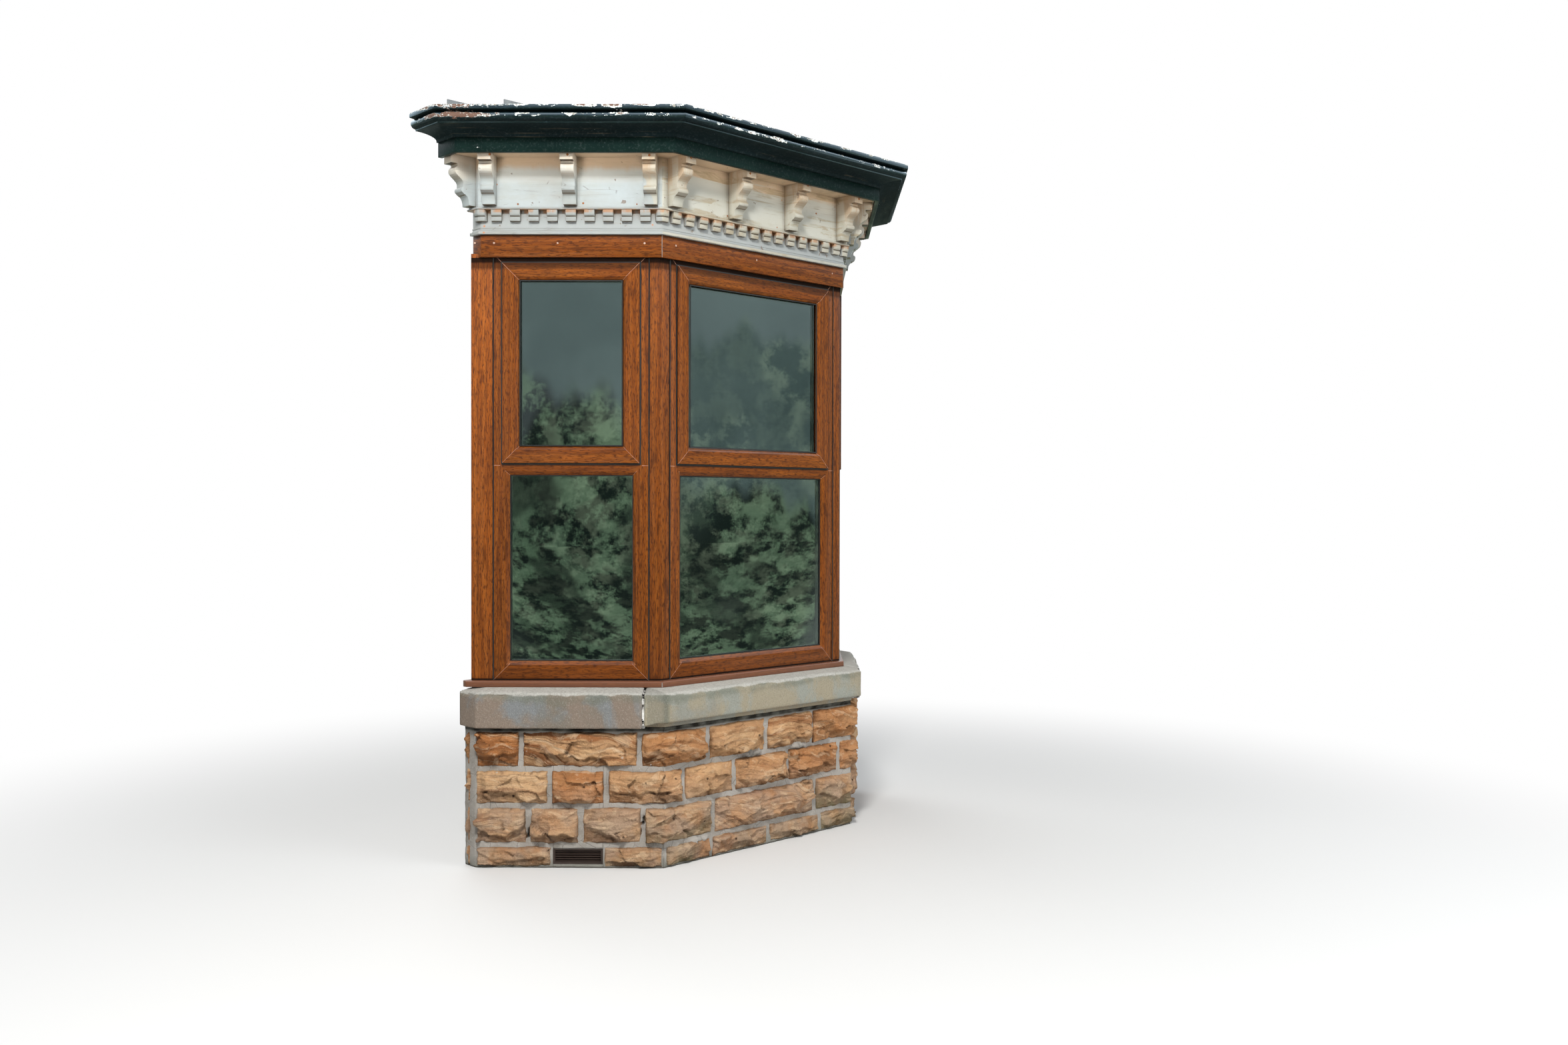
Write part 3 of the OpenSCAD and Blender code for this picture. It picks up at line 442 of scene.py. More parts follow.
def makeRubble():
    mat, shader, at = newMaterial("rubble core", 0.9, 0.2)
    w = place(weather, Vector=at, Size=1.0)
    warp = Node("ShaderNodeTexNoise", {"Vector": at, "Scale": 9.0})["Color"]
    bent = vecCalc("ADD", at, vecCalc("MULTIPLY", warp, (0.05, 0.05, 0.05)))
    base = blend(channels(cells(bent, 7.5)["Color"])[0], (0.25, 0.145, 0.075), (0.40, 0.285, 0.175))
    base = wash(base, sandstone["brown"], w["Specks"], 0.4, 0.7, 0.6)
    seam = fade(cells(bent, 7.5, "DISTANCE_TO_EDGE")["Distance"], 0.03, 0.10)
    base = blend(seam, base, (0.27, 0.25, 0.22))
    wire(shader, base, w["Grit"] + w["Specks"] - seam * 2.0, 0.003, 0.8)
    return mat


stoneFinish = makeSandstone()
mortarFinish = makeMortar()
rubbleFinish = makeRubble()
sillFinish = makeSillStone("weathered sill stone", sillLook["left"])
sillFrontFinish = makeSillStone("greener sill stone", sillLook["front"])

# Woodgrain foil on the windows

foil = {
    "mid": (0.200, 0.052, 0.0062),
    "dark": (0.045, 0.0105, 0.002),
    "light": (0.27, 0.082, 0.012),
    "weld": (0.50, 0.27, 0.19),
    "faded": (0.170, 0.078, 0.049),
    # corner and the next tint are painted shade in hollows and painted shadow under the board and along the
    # frames' foot
    "corner": (0.010, 0.004, 0.002),
    "soot": (0.004, 0.0025, 0.002),
    "rebate": (0.006, 0.0035, 0.003),
    "gloss": 0.22,
    "headZ": (2.564, 2.582, 2.596, 2.606),     # painted shadow under the brown board, in two steps
    "footZ": (0.8080, 0.8035, 0.7988),         # painted shadow: a dark line along the foot of the frames, over the cill
    "transomZ": (1.7215, 1.7320, 1.7378),      # shade in the rebate under the casements
}


def foilColour(at, run, tint=1.0):
    g = place(grain, Vector=run)
    coat = Coat({**foil, "tint": (tint, tint, tint)}, "dark")
    coat.lay("mid", remap(g["Streaks"], 0.34, 0.60, 0.42, 1.0))
    coat.wash("light", g["Figure"], 0.45, 0.95, 0.42)
    coat.wash("dark", cloud(stretch(run, (42, 210, 210)), 1.0, 2.0, 0.5), 0.53, 0.63, 0.75)
    coat.wash("dark", g["Pores"], 0.50, 0.62, 0.60)
    knots = cloud(stretch(run, (7, 26, 26), shift=(3.1, 0, 0)), 1.0, 3.0, 0.6)
    coat.wash("dark", knots, 0.58, 0.70, 0.62)
    coat.lay("tint", 1.0, "MULTIPLY")
    # Painted shade in hollows
    coat.wash("corner", hollows(0.03), 0.22, 0.62, 0.92)
    up = axes(at)[2]
    # Painted shadow under the brown board and along the foot of the frames
    a, b, c, d = foil["headZ"]
    head = (remap(up, a, b, 0.0, 0.66) + remap(up, c, d, 0.0, 0.34)) * calc("LESS_THAN", up, bay["fasciaZ0"])
    a, b, c = foil["footZ"]
    paintedShadow = calc("MAXIMUM", head, remap(up, a, b) * calc("GREATER_THAN", up, c))
    coat.lay("soot", paintedShadow * 0.96)
    rough = calc("MAXIMUM", remap(g["Streaks"], 0.3, 0.7, 0.34, 0.24), paintedShadow * 0.95)
    return coat, g["Streaks"] * 0.5 - g["Pores"] * 0.7, rough


# Grain runs along each bar of a mitred frame, with a weld line where the bars meet.
# A bar across the frame is welded in with a vee on each side
def frameFinish(name, spin, origin, width, z0, z1, bar=None):
    mat, shader, at = newMaterial(name, 0.3, foil["gloss"])
    local = Node("ShaderNodeMapping", {"Vector": at, "Location": origin, "Rotation": (0, 0, spin)},
                 vector_type="TEXTURE")[0]
    xyz = axes(local)
    left = calc("MINIMUM", xyz[0], width - xyz[0])
    apart = calc("MINIMUM", xyz[2] - z0, z1 - xyz[2]) - left
    across = calc("LESS_THAN", apart, 0.0)
    seam = calc("ABSOLUTE", apart)
    if bar:
        off = calc("ABSOLUTE", xyz[2] - bar)
        beside = off - 0.0240
        reach = left - 0.0530
        crossing = calc("LESS_THAN", beside, reach) * calc("LESS_THAN", off, 0.0420)
        across = calc("MAXIMUM", across, crossing)
        ends = calc("GREATER_THAN", off, 0.0410) + calc("LESS_THAN", off, 0.0225)
        vee = calc("ABSOLUTE", beside - reach) + ends
        line = off + calc("GREATER_THAN", left, 0.0300)
        seam = calc("MINIMUM", seam, calc("MINIMUM", vee, line))
    upright = vector(xyz[2], xyz[0], xyz[1])
    run = Node("ShaderNodeMix", {0: across, 4: upright, 5: local}, data_type="VECTOR")[1]
    coat, height, rough = foilColour(at, run)
    if bar:
        low, high, top = foil["transomZ"]
        shade = remap(xyz[2], low, high) * calc("LESS_THAN", xyz[2], top) * calc("GREATER_THAN", left, 0.0380)
        coat.lay("rebate", shade * 0.90)
    weld = fade(seam, 0.0004, 0.0011, 0.85) * calc("LESS_THAN", left, 0.0715)
    coat.lay("weld", weld)
    wire(shader, coat.base, height - weld * 1.4, 0.0003, 0.6, rough)
    return mat


def plainFoil(name, vertical, tint=1.0, faded=False):
    mat, shader, at = newMaterial(name, 0.3, foil["gloss"])
    xyz = axes(at)
    run = vector(xyz[2], xyz[0], xyz[1]) if vertical else levelRun(at, 0.35)
    coat, height, rough = foilColour(at, run, tint)
    if faded:
        coat.lay("faded", 0.72)
    wire(shader, coat.base, height, 0.0003, 0.6, rough)
    return mat


windows = {  # turn of each window's face, its left end on the frame line, and its width
    "left": (-math.pi / 4, (-bay["frontW"] / 2 - bay["projection"] + bay["jambW"] * diag,
                            bay["wallY"] - bay["jambW"] * diag), bay["sideUnitW"]),
    "front": (0.0, (-bay["frontW"] / 2 + bay["postFace"], bay["frontY"]), bay["frontUnitW"]),
    "right": (math.pi / 4, (bay["frontW"] / 2 + bay["postFace"] * diag,
                            bay["frontY"] + bay["postFace"] * diag), bay["sideUnitW"]),
}
casement = {"inset": 0.040, "z0": 1.738, "z1": 2.600, "transomZ": 1.7275}

foilUpright = plainFoil("woodgrain foil upright", True)
foilLevel = plainFoil("woodgrain foil level", False, 0.90)
foilJamb = plainFoil("lighter jamb foil", True, 1.35)
cillFoil = plainFoil("faded cill foil", False, faded=True)

# Painted timber, lead, glass and the rest

oldWhite = {
    "cool": (0.385, 0.432, 0.445),
    "dull": (0.345, 0.368, 0.358),
    "strip": (0.300, 0.318, 0.312),
    # high is painted light, near the top of the frieze under the soffit
    "high": (0.66, 0.65, 0.59),
    "sunny": (0.475, 0.44, 0.345),
    "grime": (0.60, 0.435, 0.28),
    "mould": (0.27, 0.20, 0.10),
    # corner, under and slot are painted shade: in hollows, on faces that look down, and in the slots between
    # the brackets' heads
    "corner": (0.11, 0.075, 0.045),
    "under": (0.130, 0.095, 0.060),
    "slot": (0.018, 0.012, 0.008),
    "tan": (0.42, 0.28, 0.165),
    "carved": (0.92, 0.91, 0.89),
    "run": (0.36, 0.17, 0.07),
    "crack": (0.10, 0.075, 0.05),
    "rust": (0.50, 0.17, 0.035),
    "bare": (0.17, 0.12, 0.085),
    "stripZ": (2.836, 2.824),      # the dentils' strip, below this, is duller
    "highZ": (2.925, 2.980),       # painted light: paler towards the top, against the shade under the soffit
    "grimeZ": (2.984, 3.020),      # grime under the gutter, reaching lower in hollows as painted shade
    "tanZ": (2.88, 3.00),
    "slotZ": (2.995, 3.004),       # painted shade: dark slots between the brackets' heads
    "runZ": 2.817,                 # rusty line along the strip
    "frontY": (-0.172, -0.168),    # only the front face lies beyond this
}


# Under is how dark the faces that look down are painted, as shade, on carved pieces only
def makeWhitePaint(name, under):
    mat, shader, at = newMaterial(name, 0.42, 0.40)
    w = place(weather, Vector=at, Size=1.0)
    xyz = axes(at)
    coat = Coat(oldWhite, "cool")
    coat.wash("dull", w["Stains"], 0.35, 0.7)
    coat.wash("strip", xyz[2], *oldWhite["stripZ"], 0.9)
    runs = cloud(stretch(at, (22, 22, 3.5)), 1.0, 4.0, 0.65)
    mould = cloud(stretch(at, (3.0, 3.0, 9.0)), 2.2, 5.0, 0.65, 0.8)
    planks = cloud(stretch(at, (2.6, 2.6, 46)), 1.0, 4.0, 0.62, 0.5)
    facing = fade(xyz[1], *oldWhite["frontY"])
    # Painted light near the top, against the shade under the soffit
    coat.lay("high", remap(xyz[2], *oldWhite["highZ"]) * 0.85)
    coat.lay("sunny", facing * 0.60)
    shut = hollows(0.045)
    lumpy = (w["Stains"] - 0.5) * 0.10 + (runs - 0.5) * 0.07
    # Grime and tan run lower in hollows, which is painted shade
    level = xyz[2] + lumpy * 0.45 + remap(shut, 0.25, 0.65, 0.0, 0.030)
    grime = remap(level + (planks - 0.5) * (facing * 0.16), *oldWhite["grimeZ"])
    coat.lay("grime", grime * (0.42 if under else 0.93))
    spread = remap(planks, 0.47, 0.62) * remap(mould, 0.40, 0.58)
    coat.lay("mould", spread * (facing * 0.45 + 0.12))
    # Painted shade in hollows, varied by stains
    hollowShade = remap(shut, 0.40, 0.78) * remap(w["Stains"], 0.30, 0.60, 0.55, 1.0)
    coat.lay("corner", hollowShade * 0.85)
    if under:
        down = axes(faceNormal())[2]
        # Faces that look down are painted darker, near black in the slots between the brackets' heads:
        # painted shade
        coat.wash("under", down, -0.62, -0.97, under)
        slot = remap(down, -0.97, -0.995) * remap(xyz[2], *oldWhite["slotZ"])
        coat.lay("slot", slot)
        tanned = remap(runs, 0.42, 0.60, 0.25, 0.85) * remap(level, *oldWhite["tanZ"])
        coat.lay("tan", tanned * remap(facing, 0.0, 1.0, 0.25, 0.9))
        coat.lay("carved", 1.0, "MULTIPLY")
    line = fade(calc("ABSOLUTE", xyz[2] - oldWhite["runZ"]), 0.003, 0.011) * remap(runs, 0.40, 0.56)
    coat.lay("run", line * 0.75)
    cracks = cells(stretch(at, (4, 4, 44)), 1.0, "DISTANCE_TO_EDGE")["Distance"]
    cracked = fade(cracks, 0.0, 0.018) * remap(mould, 0.50, 0.62)
    coat.lay("crack", cracked * 0.40)
    dots = fade(cells(at, 13.0)["Distance"], 0.02, 0.09) * remap(w["Stains"], 0.48, 0.54)
    coat.lay("rust", dots * 0.85)
    flake = remap(cloud(at, 24.0, 4.0, 0.6), 0.675, 0.70)
    coat.lay("bare", flake * 0.75)
    rough = remap(w["Stains"], 0.3, 0.7, 0.34, 0.56)
    wire(shader, coat.base, w["Specks"] * 0.35 - (cracked + flake), 0.0009, 0.7, rough)
    return mat


blackPaint = {
    "gutter": {"low": (0.0015, 0.004, 0.0045), "high": (0.003, 0.008, 0.009), "specular": 0.5,
               "rough": (0.08, 0.20), "lip": 0.125, "roll": 0.088, "peels": True},
    "board": {"low": (0.003, 0.010, 0.008), "high": (0.006, 0.016, 0.013), "specular": 0.12,
              "rough": (0.30, 0.45), "lip": -0.02, "roll": -0.1, "peels": False},
    "sheen": (0.62, 0.86, 1.0),
    "dust": (0.20, 0.23, 0.22),
    "scratch": (0.20, 0.155, 0.09),
    # corner: painted shade in hollows
    "corner": (0.0006, 0.0010, 0.0009),
    "undercoat": (0.80, 0.80, 0.77),
    "dirtyCoat": (0.40, 0.36, 0.30),
    "wood": (0.145, 0.075, 0.050),
    "underZ": (3.130, 3.105),      # the shaded moulding under the gutter's roll
    "lipZ": (3.170, 3.188),        # paint is lost along the lip and along the roll
    "rollZ": 3.149,
    "bareEnd": (-1.33, 0.235, 3.150),      # the gutter's left end has lost most of its paint
}


def makeBlackPaint(name, own):
    mat, shader, at = newMaterial(name, 0.28, own["specular"])
    sheen = blackPaint["sheen"]
    shader.feed({"Coat Roughness": 0.06, "Coat Tint": sheen, "Specular Tint": sheen})
    w = place(weather, Vector=at, Size=1.0)
    up = axes(at)[2]
    coat = Coat({**blackPaint, **own}, "low")
    coat.wash("high", w["Stains"], 0.4, 0.7)
    coat.wash("dust", w["Specks"], 0.5, 0.75, 0.08)
    under = remap(up, *blackPaint["underZ"])
    bare = cloud(stretch(at, (9, 9, 26)), 1.0, 5.0, 0.66, 0.5)
    wide = cloud(stretch(at, (2.3, 2.3, 2.3), shift=(0.8, 0.3, 0.0)), 1.0, 2.0, 0.5)
    fine = cloud(at, 70.0, 5.0, 0.75) - 0.5
    lip = remap(up, *blackPaint["lipZ"], -0.10, own["lip"])
    roll = remap(calc("ABSOLUTE", up - blackPaint["rollZ"]), 0.004, 0.017, own["roll"], -0.20)
    level = bare + fine * 0.34 + (wide - 0.5) * 0.35 + calc("MAXIMUM", lip, roll)
    deep = fine * 0.5
    if own["peels"]:
        offset = vecCalc("SUBTRACT", at, blackPaint["bareEnd"])
        spot = vecCalc("LENGTH", vecCalc("MULTIPLY", offset, (1.0, 1.0, 3.5)))
        level = level + fade(spot, 0.03, 0.22, 0.13)
        deep = deep + fade(spot, 0.05, 0.30, 0.115)
        drawn = cloud(stretch(at, (1.6, 1.6, 120)), 1.0, 4.0, 0.7)
        scratch = remap(drawn, 0.60, 0.70, 0.0, 0.55) * under * remap(w["Stains"], 0.40, 0.60)
        coat.lay("scratch", scratch)
    peeled = remap(level, 0.612, 0.622)
    wood = remap(level + deep, 0.735, 0.750)
    bared = Coat(blackPaint, "undercoat")
    bared.wash("dirtyCoat", w["Specks"], 0.45, 0.62)
    bared.lay("wood", wood)
    # Painted shade in hollows
    coat.wash("corner", hollows(0.05), 0.30, 0.70, 0.85)
    rough = remap(w["Stains"], 0.3, 0.7, *own["rough"]) + peeled * 0.45
    if own["peels"]:
        glossy = remap(under, 0.0, 1.0, 1.0, 0.08) * remap(peeled, 0.0, 1.0, 1.0, 0.2)
        glossy = glossy * remap(axes(faceNormal())[2], -0.35, -0.65, 1.0, 0.06)
        rough = calc("MAXIMUM", rough + under * 0.45, (1.0 - glossy) * 0.95)
        shader.feed({"Coat Weight": glossy})
    base = blend(peeled, coat.base, bared.base)
    wire(shader, base, w["Specks"] * 0.12 - (peeled + wood), 0.0011, 0.8, rough)
    return mat


lead = {"dark": (0.185, 0.20, 0.21), "light": (0.255, 0.27, 0.275), "bright": (0.40, 0.41, 0.40),
        "run": (0.12, 0.125, 0.12), "speck": (0.09, 0.10, 0.10)}


def makeLead():
    mat, shader, at = newMaterial("weathered lead", 0.55, 0.4, 0.35)
    w = place(weather, Vector=at, Size=0.8)
    runs = cloud(stretch(at, (26, 5, 5)), 1.0, 4.0, 0.6)
    coat = Coat(lead, "dark")
    coat.wash("light", w["Stains"], 0.30, 0.72)
    coat.wash("bright", runs, 0.50, 0.70, 0.35)
    coat.wash("run", runs, 0.46, 0.34, 0.35)
    coat.wash("speck", w["Specks"], 0.62, 0.78, 0.35)
    rough = remap(w["Stains"], 0.3, 0.7, 0.68, 0.52)
    wire(shader, coat.base, w["Stains"] * 2.0 + w["Specks"] * 0.5, 0.002, 0.6, rough)
    return mat


def makeGlass():  # see-through, slightly green, with a faint haze, and tinted dark as painted shade of the unlit room behind
    mat, shader, at = newMaterial("glass tinted for the room's shade", 0.0, 0.5)
    haze = cloud(at, 2.2, 3.0, 0.5, 0.3)
    shader.feed({"IOR": 1.5, "Transmission Weight": 1.0,
                 "Base Color": wash((0.27, 0.315, 0.30), (0.34, 0.385, 0.365), haze, 0.3, 0.7)})
    return mat


def makeSimple(name, low, high, roughness, size=1.0, depth=0.0006, metallic=0.0):
    mat, shader, at = newMaterial(name, roughness, 0.4, metallic)
    w = place(weather, Vector=at, Size=size)
    base = wash(low, high, w["Stains"], 0.32, 0.68)
    base = wash(base, scaled(low, 0.45), w["Specks"], 0.60, 0.78, 0.3)
    rough = remap(w["Stains"], 0.3, 0.7, roughness * 0.85, roughness * 1.15)
    wire(shader, base, w["Specks"] + w["Grit"] * 0.5, depth, 0.6, rough)
    return mat


# Wrapped grain follows each level piece round the plan, as on the beams
def makeTimber(name, low, high, roughness, spin=0.0, wrapped=False):
    mat, shader, at = newMaterial(name, roughness, 0.35)
    run = stretch(at, (1, 1, 1), spin=(0.0, 0.0, spin))
    if wrapped:
        flat = calc("GREATER_THAN", calc("ABSOLUTE", axes(faceNormal())[2]), 0.6)
        run = Node("ShaderNodeMix", {0: flat, 4: levelRun(at, 0.2), 5: run}, data_type="VECTOR")[1]
    g = place(grain, Vector=run)
    base = wash(low, high, g["Streaks"], 0.32, 0.66)
    base = wash(base, scaled(low, 0.55), g["Figure"], 0.6, 0.98, 0.4)
    base = wash(base, scaled(low, 0.4), g["Pores"], 0.55, 0.72, 0.4)
    wire(shader, base, g["Streaks"] - g["Pores"] * 0.6, 0.0007, 0.6)
    return mat


whitePaint = makeWhitePaint("old white paint", 0.0)
carvedPaint = makeWhitePaint("old white paint on carving", 0.96)
blackGutter = makeBlackPaint("peeling black gutter paint", blackPaint["gutter"])
blackBoard = makeBlackPaint("dark board paint", blackPaint["board"])
leadFinish = makeLead()
glassFinish = makeGlass()
ventPlastic = makeSimple("brown vent plastic", (0.022, 0.014, 0.011), (0.045, 0.030, 0.024), 0.5, 1.5)
spacer = makeSimple("spacer aluminium", (0.55, 0.54, 0.51), (0.68, 0.67, 0.64), 0.35, 3.0, 0.0002, 0.8)
handle = makeSimple("brushed handle metal", (0.60, 0.60, 0.59), (0.72, 0.72, 0.71), 0.3, 3.0, 0.0001, 0.9)
rubber = makeSimple("black gasket rubber", (0.010, 0.010, 0.010), (0.022, 0.022, 0.021), 0.6, 2.0)
nailCap = makeSimple("nail cap", (0.40, 0.27, 0.20), (0.52, 0.38, 0.30), 0.5, 6.0, 0.0002)
rustyNail = makeSimple("rusty nail head", (0.16, 0.055, 0.02), (0.36, 0.13, 0.04), 0.8, 8.0, 0.0003)
jointMortar = makeJointMortar()
sealant = makeSimple("grey sealant", (0.19, 0.155, 0.135), (0.29, 0.25, 0.225), 0.5, 2.0)
plaster = makeSimple("painted plaster", (0.66, 0.645, 0.60), (0.72, 0.71, 0.67), 0.7, 0.6, 0.0005)
whiteBoard = makeSimple("white window board", (0.70, 0.70, 0.68), (0.76, 0.76, 0.745), 0.35, 0.7, 0.0003)
sawn = makeTimber("rough sawn timber", (0.36, 0.215, 0.115), (0.52, 0.345, 0.20), 0.75, math.pi / 2)
beams = makeTimber("roof timber", (0.40, 0.255, 0.145), (0.52, 0.355, 0.215), 0.75, wrapped=True)
oiled = makeTimber("oiled floor boards", (0.26, 0.135, 0.065), (0.40, 0.23, 0.12), 0.42)


def dress(node, finish):
    slots = nodes[node].material_slots
    for s in slots:
        s.material = finish
    if not slots:
        nodes[node].data.materials.append(finish)


def onSides(kind):
    return [kind + side for side in windows]


plain = [
    (ventPlastic, ["air_vents"]),
    (cillFoil, ["sub_cill"]),
    (foilJamb, ["jamb_left", "jamb_right"]),
    (foilUpright, ["corner_post_left", "corner_post_right"]),
    (foilLevel, ["glazing_beads", "fascia"]),
    (glassFinish, onSides("glass_")),
    (spacer, ["spacer_bars"]),
    (handle, ["window_handles"]),
    (whitePaint, ["dentil_band", "frieze", "soffit"]),
    (carvedPaint, ["dentils", "ledge", *onSides("brackets_")]),
    (blackBoard, ["cornice_board"]),
    (blackGutter, onSides("gutter_")),
    (beams, ["head_beam", "eaves_plate", "wall_plate", "roof_deck"]),
    (sawn, ["rafters", "floor_joists"]),
    (leadFinish, ["roof_lead", "flashing"]),
    (plaster, ["ceiling", "plaster"]),
    (whiteBoard, ["window_board"]),
    (oiled, ["floor_boards"]),
]
for finish, group in plain:
    for node in group:
        dress(node, finish)
for side, (spin, (ox, oy), width) in windows.items():
    frameFoil = frameFinish("foil frame " + side, spin, (ox, oy, 0), width,
                            bay["frameZ0"], bay["frameZ0"] + bay["frameH"], casement["transomZ"])
    dress("window_frame_" + side, frameFoil)
    inset = casement["inset"]
    start = (ox + inset * math.cos(spin), oy + inset * math.sin(spin), 0)
    dress("casement_" + side, frameFinish("foil casement " + side, spin, start, width - 2 * inset,
                                          casement["z0"], casement["z1"]))
print("finishes made:", len(bpy.data.materials))

# Meshes and pieces


class Shape:  # corners, faces and stone colours of a mesh in the making
    def __init__(self):
        self.verts, self.faces, self.tones = [], [], []

    def mesh(self, name):
        mesh = bpy.data.meshes.new(name)
        mesh.from_pydata(self.verts, [], self.faces)
        mesh.update()
        return mesh


def addPiece(name, mesh, finish, replaced=()):
    mesh.name = name
    piece = bpy.data.objects.new(name, mesh)
    scene.collection.objects.link(piece)
    mesh.materials.clear()
    mesh.materials.append(finish)
    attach(piece, "root")
    if replaced:
        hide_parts(*replaced)


def addStones(name, shape, finish, replaced=()):
    mesh = shape.mesh(name)
    store = mesh.attributes.new("stoneTone", "FLOAT_COLOR", "POINT")
    store.data.foreach_set("color", [c for tone in shape.tones for c in tone])
    for p in mesh.polygons:
        p.use_smooth = len(p.vertices) == 4
    addPiece(name, mesh, finish, replaced)


def smoothed(mesh):
    for p in mesh.polygons:
        p.use_smooth = True
    return mesh


def worked(mesh, kind, inputs=None, **settings):  # the mesh after one modifier
    temp = bpy.data.objects.new("temp", mesh)
    scene.collection.objects.link(temp)
    step = temp.modifiers.new("step", kind)
    for key, value in settings.items():
        setattr(step, key, value)
    for item in step.node_group.interface.items_tree if inputs else []:
        if item.in_out == "INPUT" and item.name in inputs:
            step[item.identifier] = inputs[item.name]
    deps = bpy.context.evaluated_depsgraph_get()
    deps.update()
    done = bpy.data.meshes.new_from_object(temp.evaluated_get(deps))
    bpy.data.objects.remove(temp)
    return done


def fbm(x, y, z, octaves=4):
    return noise.fractal(Vector((x, y, z)), 0.9, 2.1, octaves)


def clamped(value, low=0.0, high=1.0):
    return max(low, min(high, value))


def eased(t):
    return t * t * (3 - 2 * t)


# Rock-faced plinth, in courses of stones along the plan

plinth = {
    "step": 0.0042,            # grid on a stone's face
    "stoneBack": -0.045,
    "joint": 0.0095,
    "wallJoint": 0.001,        # the first stone of a course starts closer to the pointing beside the wall
    "underSill": 0.018,        # bed under the sill, painted dark as shadow
    "bedStep": 0.007,          # grid on the pointing
    "mortarOut": -0.006,       # pointing, from the plinth's outline
    "mortarBack": -0.060,
    "wrap": 0.030,             # a face turns to the mitre this close to a corner
    "margin": -0.010,          # where a stone's face starts at its edge
    "ventGap": 0.002,
    "beds": [0.0, 0.098, 0.267, 0.426, 0.605],
    "rows": {                  # joints of each course, from the bottom
        "left": [              # from the wall round to the front's middle
            [0.012, 0.050, 0.083, "vent", 0.900, 1.170],
            [0.012, 0.048, 0.083, 0.312, 0.538, 0.806, 1.180],
            [0.012, 0.050, 0.083, 0.405, 0.647, 1.005],
            [0.012, 0.047, 0.083, 0.281, 0.790, 1.147],
        ],
        "right": [
            [0.012, 0.050, 0.083, "vent", 0.860, 1.120],
            [0.012, 0.048, 0.083, 0.372, 0.640, 0.870, 1.155],
            [0.012, 0.050, 0.083, 0.290, 0.610, 0.989],
            [0.012, 0.047, 0.083, 0.340, 0.700, 1.175],
        ],
        "front": [             # from the left corner, between the stones that wrap the corners
            [0.62],
            [],
            [0.405, 0.740],
            [0.602],
        ],
    },
    "looks": {                 # buff against orange, and strength of the bedding, stone by stone
        "left": [
            [(0.3, 0.2), (0.3, 0.2), (0.40, 0.3), (0.45, 0.2), (0.4, 0.3)],
            [(0.5, 0.3), (0.66, 0.55), (0.60, 0.15), (0.58, 0.12), (0.62, 0.35)],
            [(0.5, 0.3), (0.92, 0.35), (0.08, 0.08), (0.66, 0.30)],
            [(0.4, 0.4), (-0.18, 0.60), (0.72, 0.80), (0.32, 0.25)],
        ],
        "front": [
            [(0.35, 0.2), (0.5, 0.3)],
            [(0.42, 0.70)],
            [(0.70, 0.08), (0.45, 0.25), (0.22, 0.35)],
            [(0.72, 0.15), (0.66, 0.55)],
        ],
        "right": [
            [(0.3, 0.2), (0.5, 0.2), (0.4, 0.3), (0.5, 0.2)],
            [(0.5, 0.3), (0.3, 0.4), (0.6, 0.1), (0.4, 0.3), (0.6, 0.2)],
            [(0.6, 0.2), (0.2, 0.4), (0.75, 0.1), (0.35, 0.3)],
            [(0.4, 0.2), (0.15, 0.8), (0.6, 0.2), (0.3, 0.3)],
        ],
    },
    "seeds": {"left": 11, "right": 311, "front": 611},
    # Missing pointing: place along the side's wall line, height and size
    "holes": [(0.318, 0.155, 0.011), (0.312, 0.140, 0.009), (0.812, 0.215, 0.009), (0.806, 0.198, 0.008)],
    # Smeared pointing on the front: place, height, and reach both ways
    "lumps": [(0.50, 0.435, 0.085, 0.020), (0.80, 0.430, 0.060, 0.014), (0.20, 0.090, 0.050, 0.014)],
}


# A line on the plan that stones are laid along. Near a corner the outward direction
# turns to the mitre, so a stone can wrap it
class WallLine:
    def __init__(self, points, mirrored=False):
        self.points = [Vector(p) for p in points]
        self.sign = -1 if mirrored else 1
        self.starts = [0.0]
        self.runs = []
        for a, b in zip(self.points, self.points[1:]):
            self.runs.append((b - a).normalized())
            self.starts.append(self.starts[-1] + (b - a).length)

    def outward(self, i):
        d = self.runs[i]
        return Vector((d.y, -d.x))

    def at(self, s, out):
        i = 0
        while i < len(self.runs) - 1 and s > self.starts[i + 1]:
            i += 1
        n = self.outward(i)
        q = self.points[i] + self.runs[i] * (s - self.starts[i])
        for j in (i, i + 1):
            near = abs(s - self.starts[j]) / plinth["wrap"]
            if 0 < j < len(self.runs) and near < 1:
                both = self.outward(j - 1) + self.outward(j)
                mitre = both / (both.length_squared / 2)
                n = mitre.lerp(n, eased(near))
        q = q + n * out
        return (q.x * self.sign, q.y)


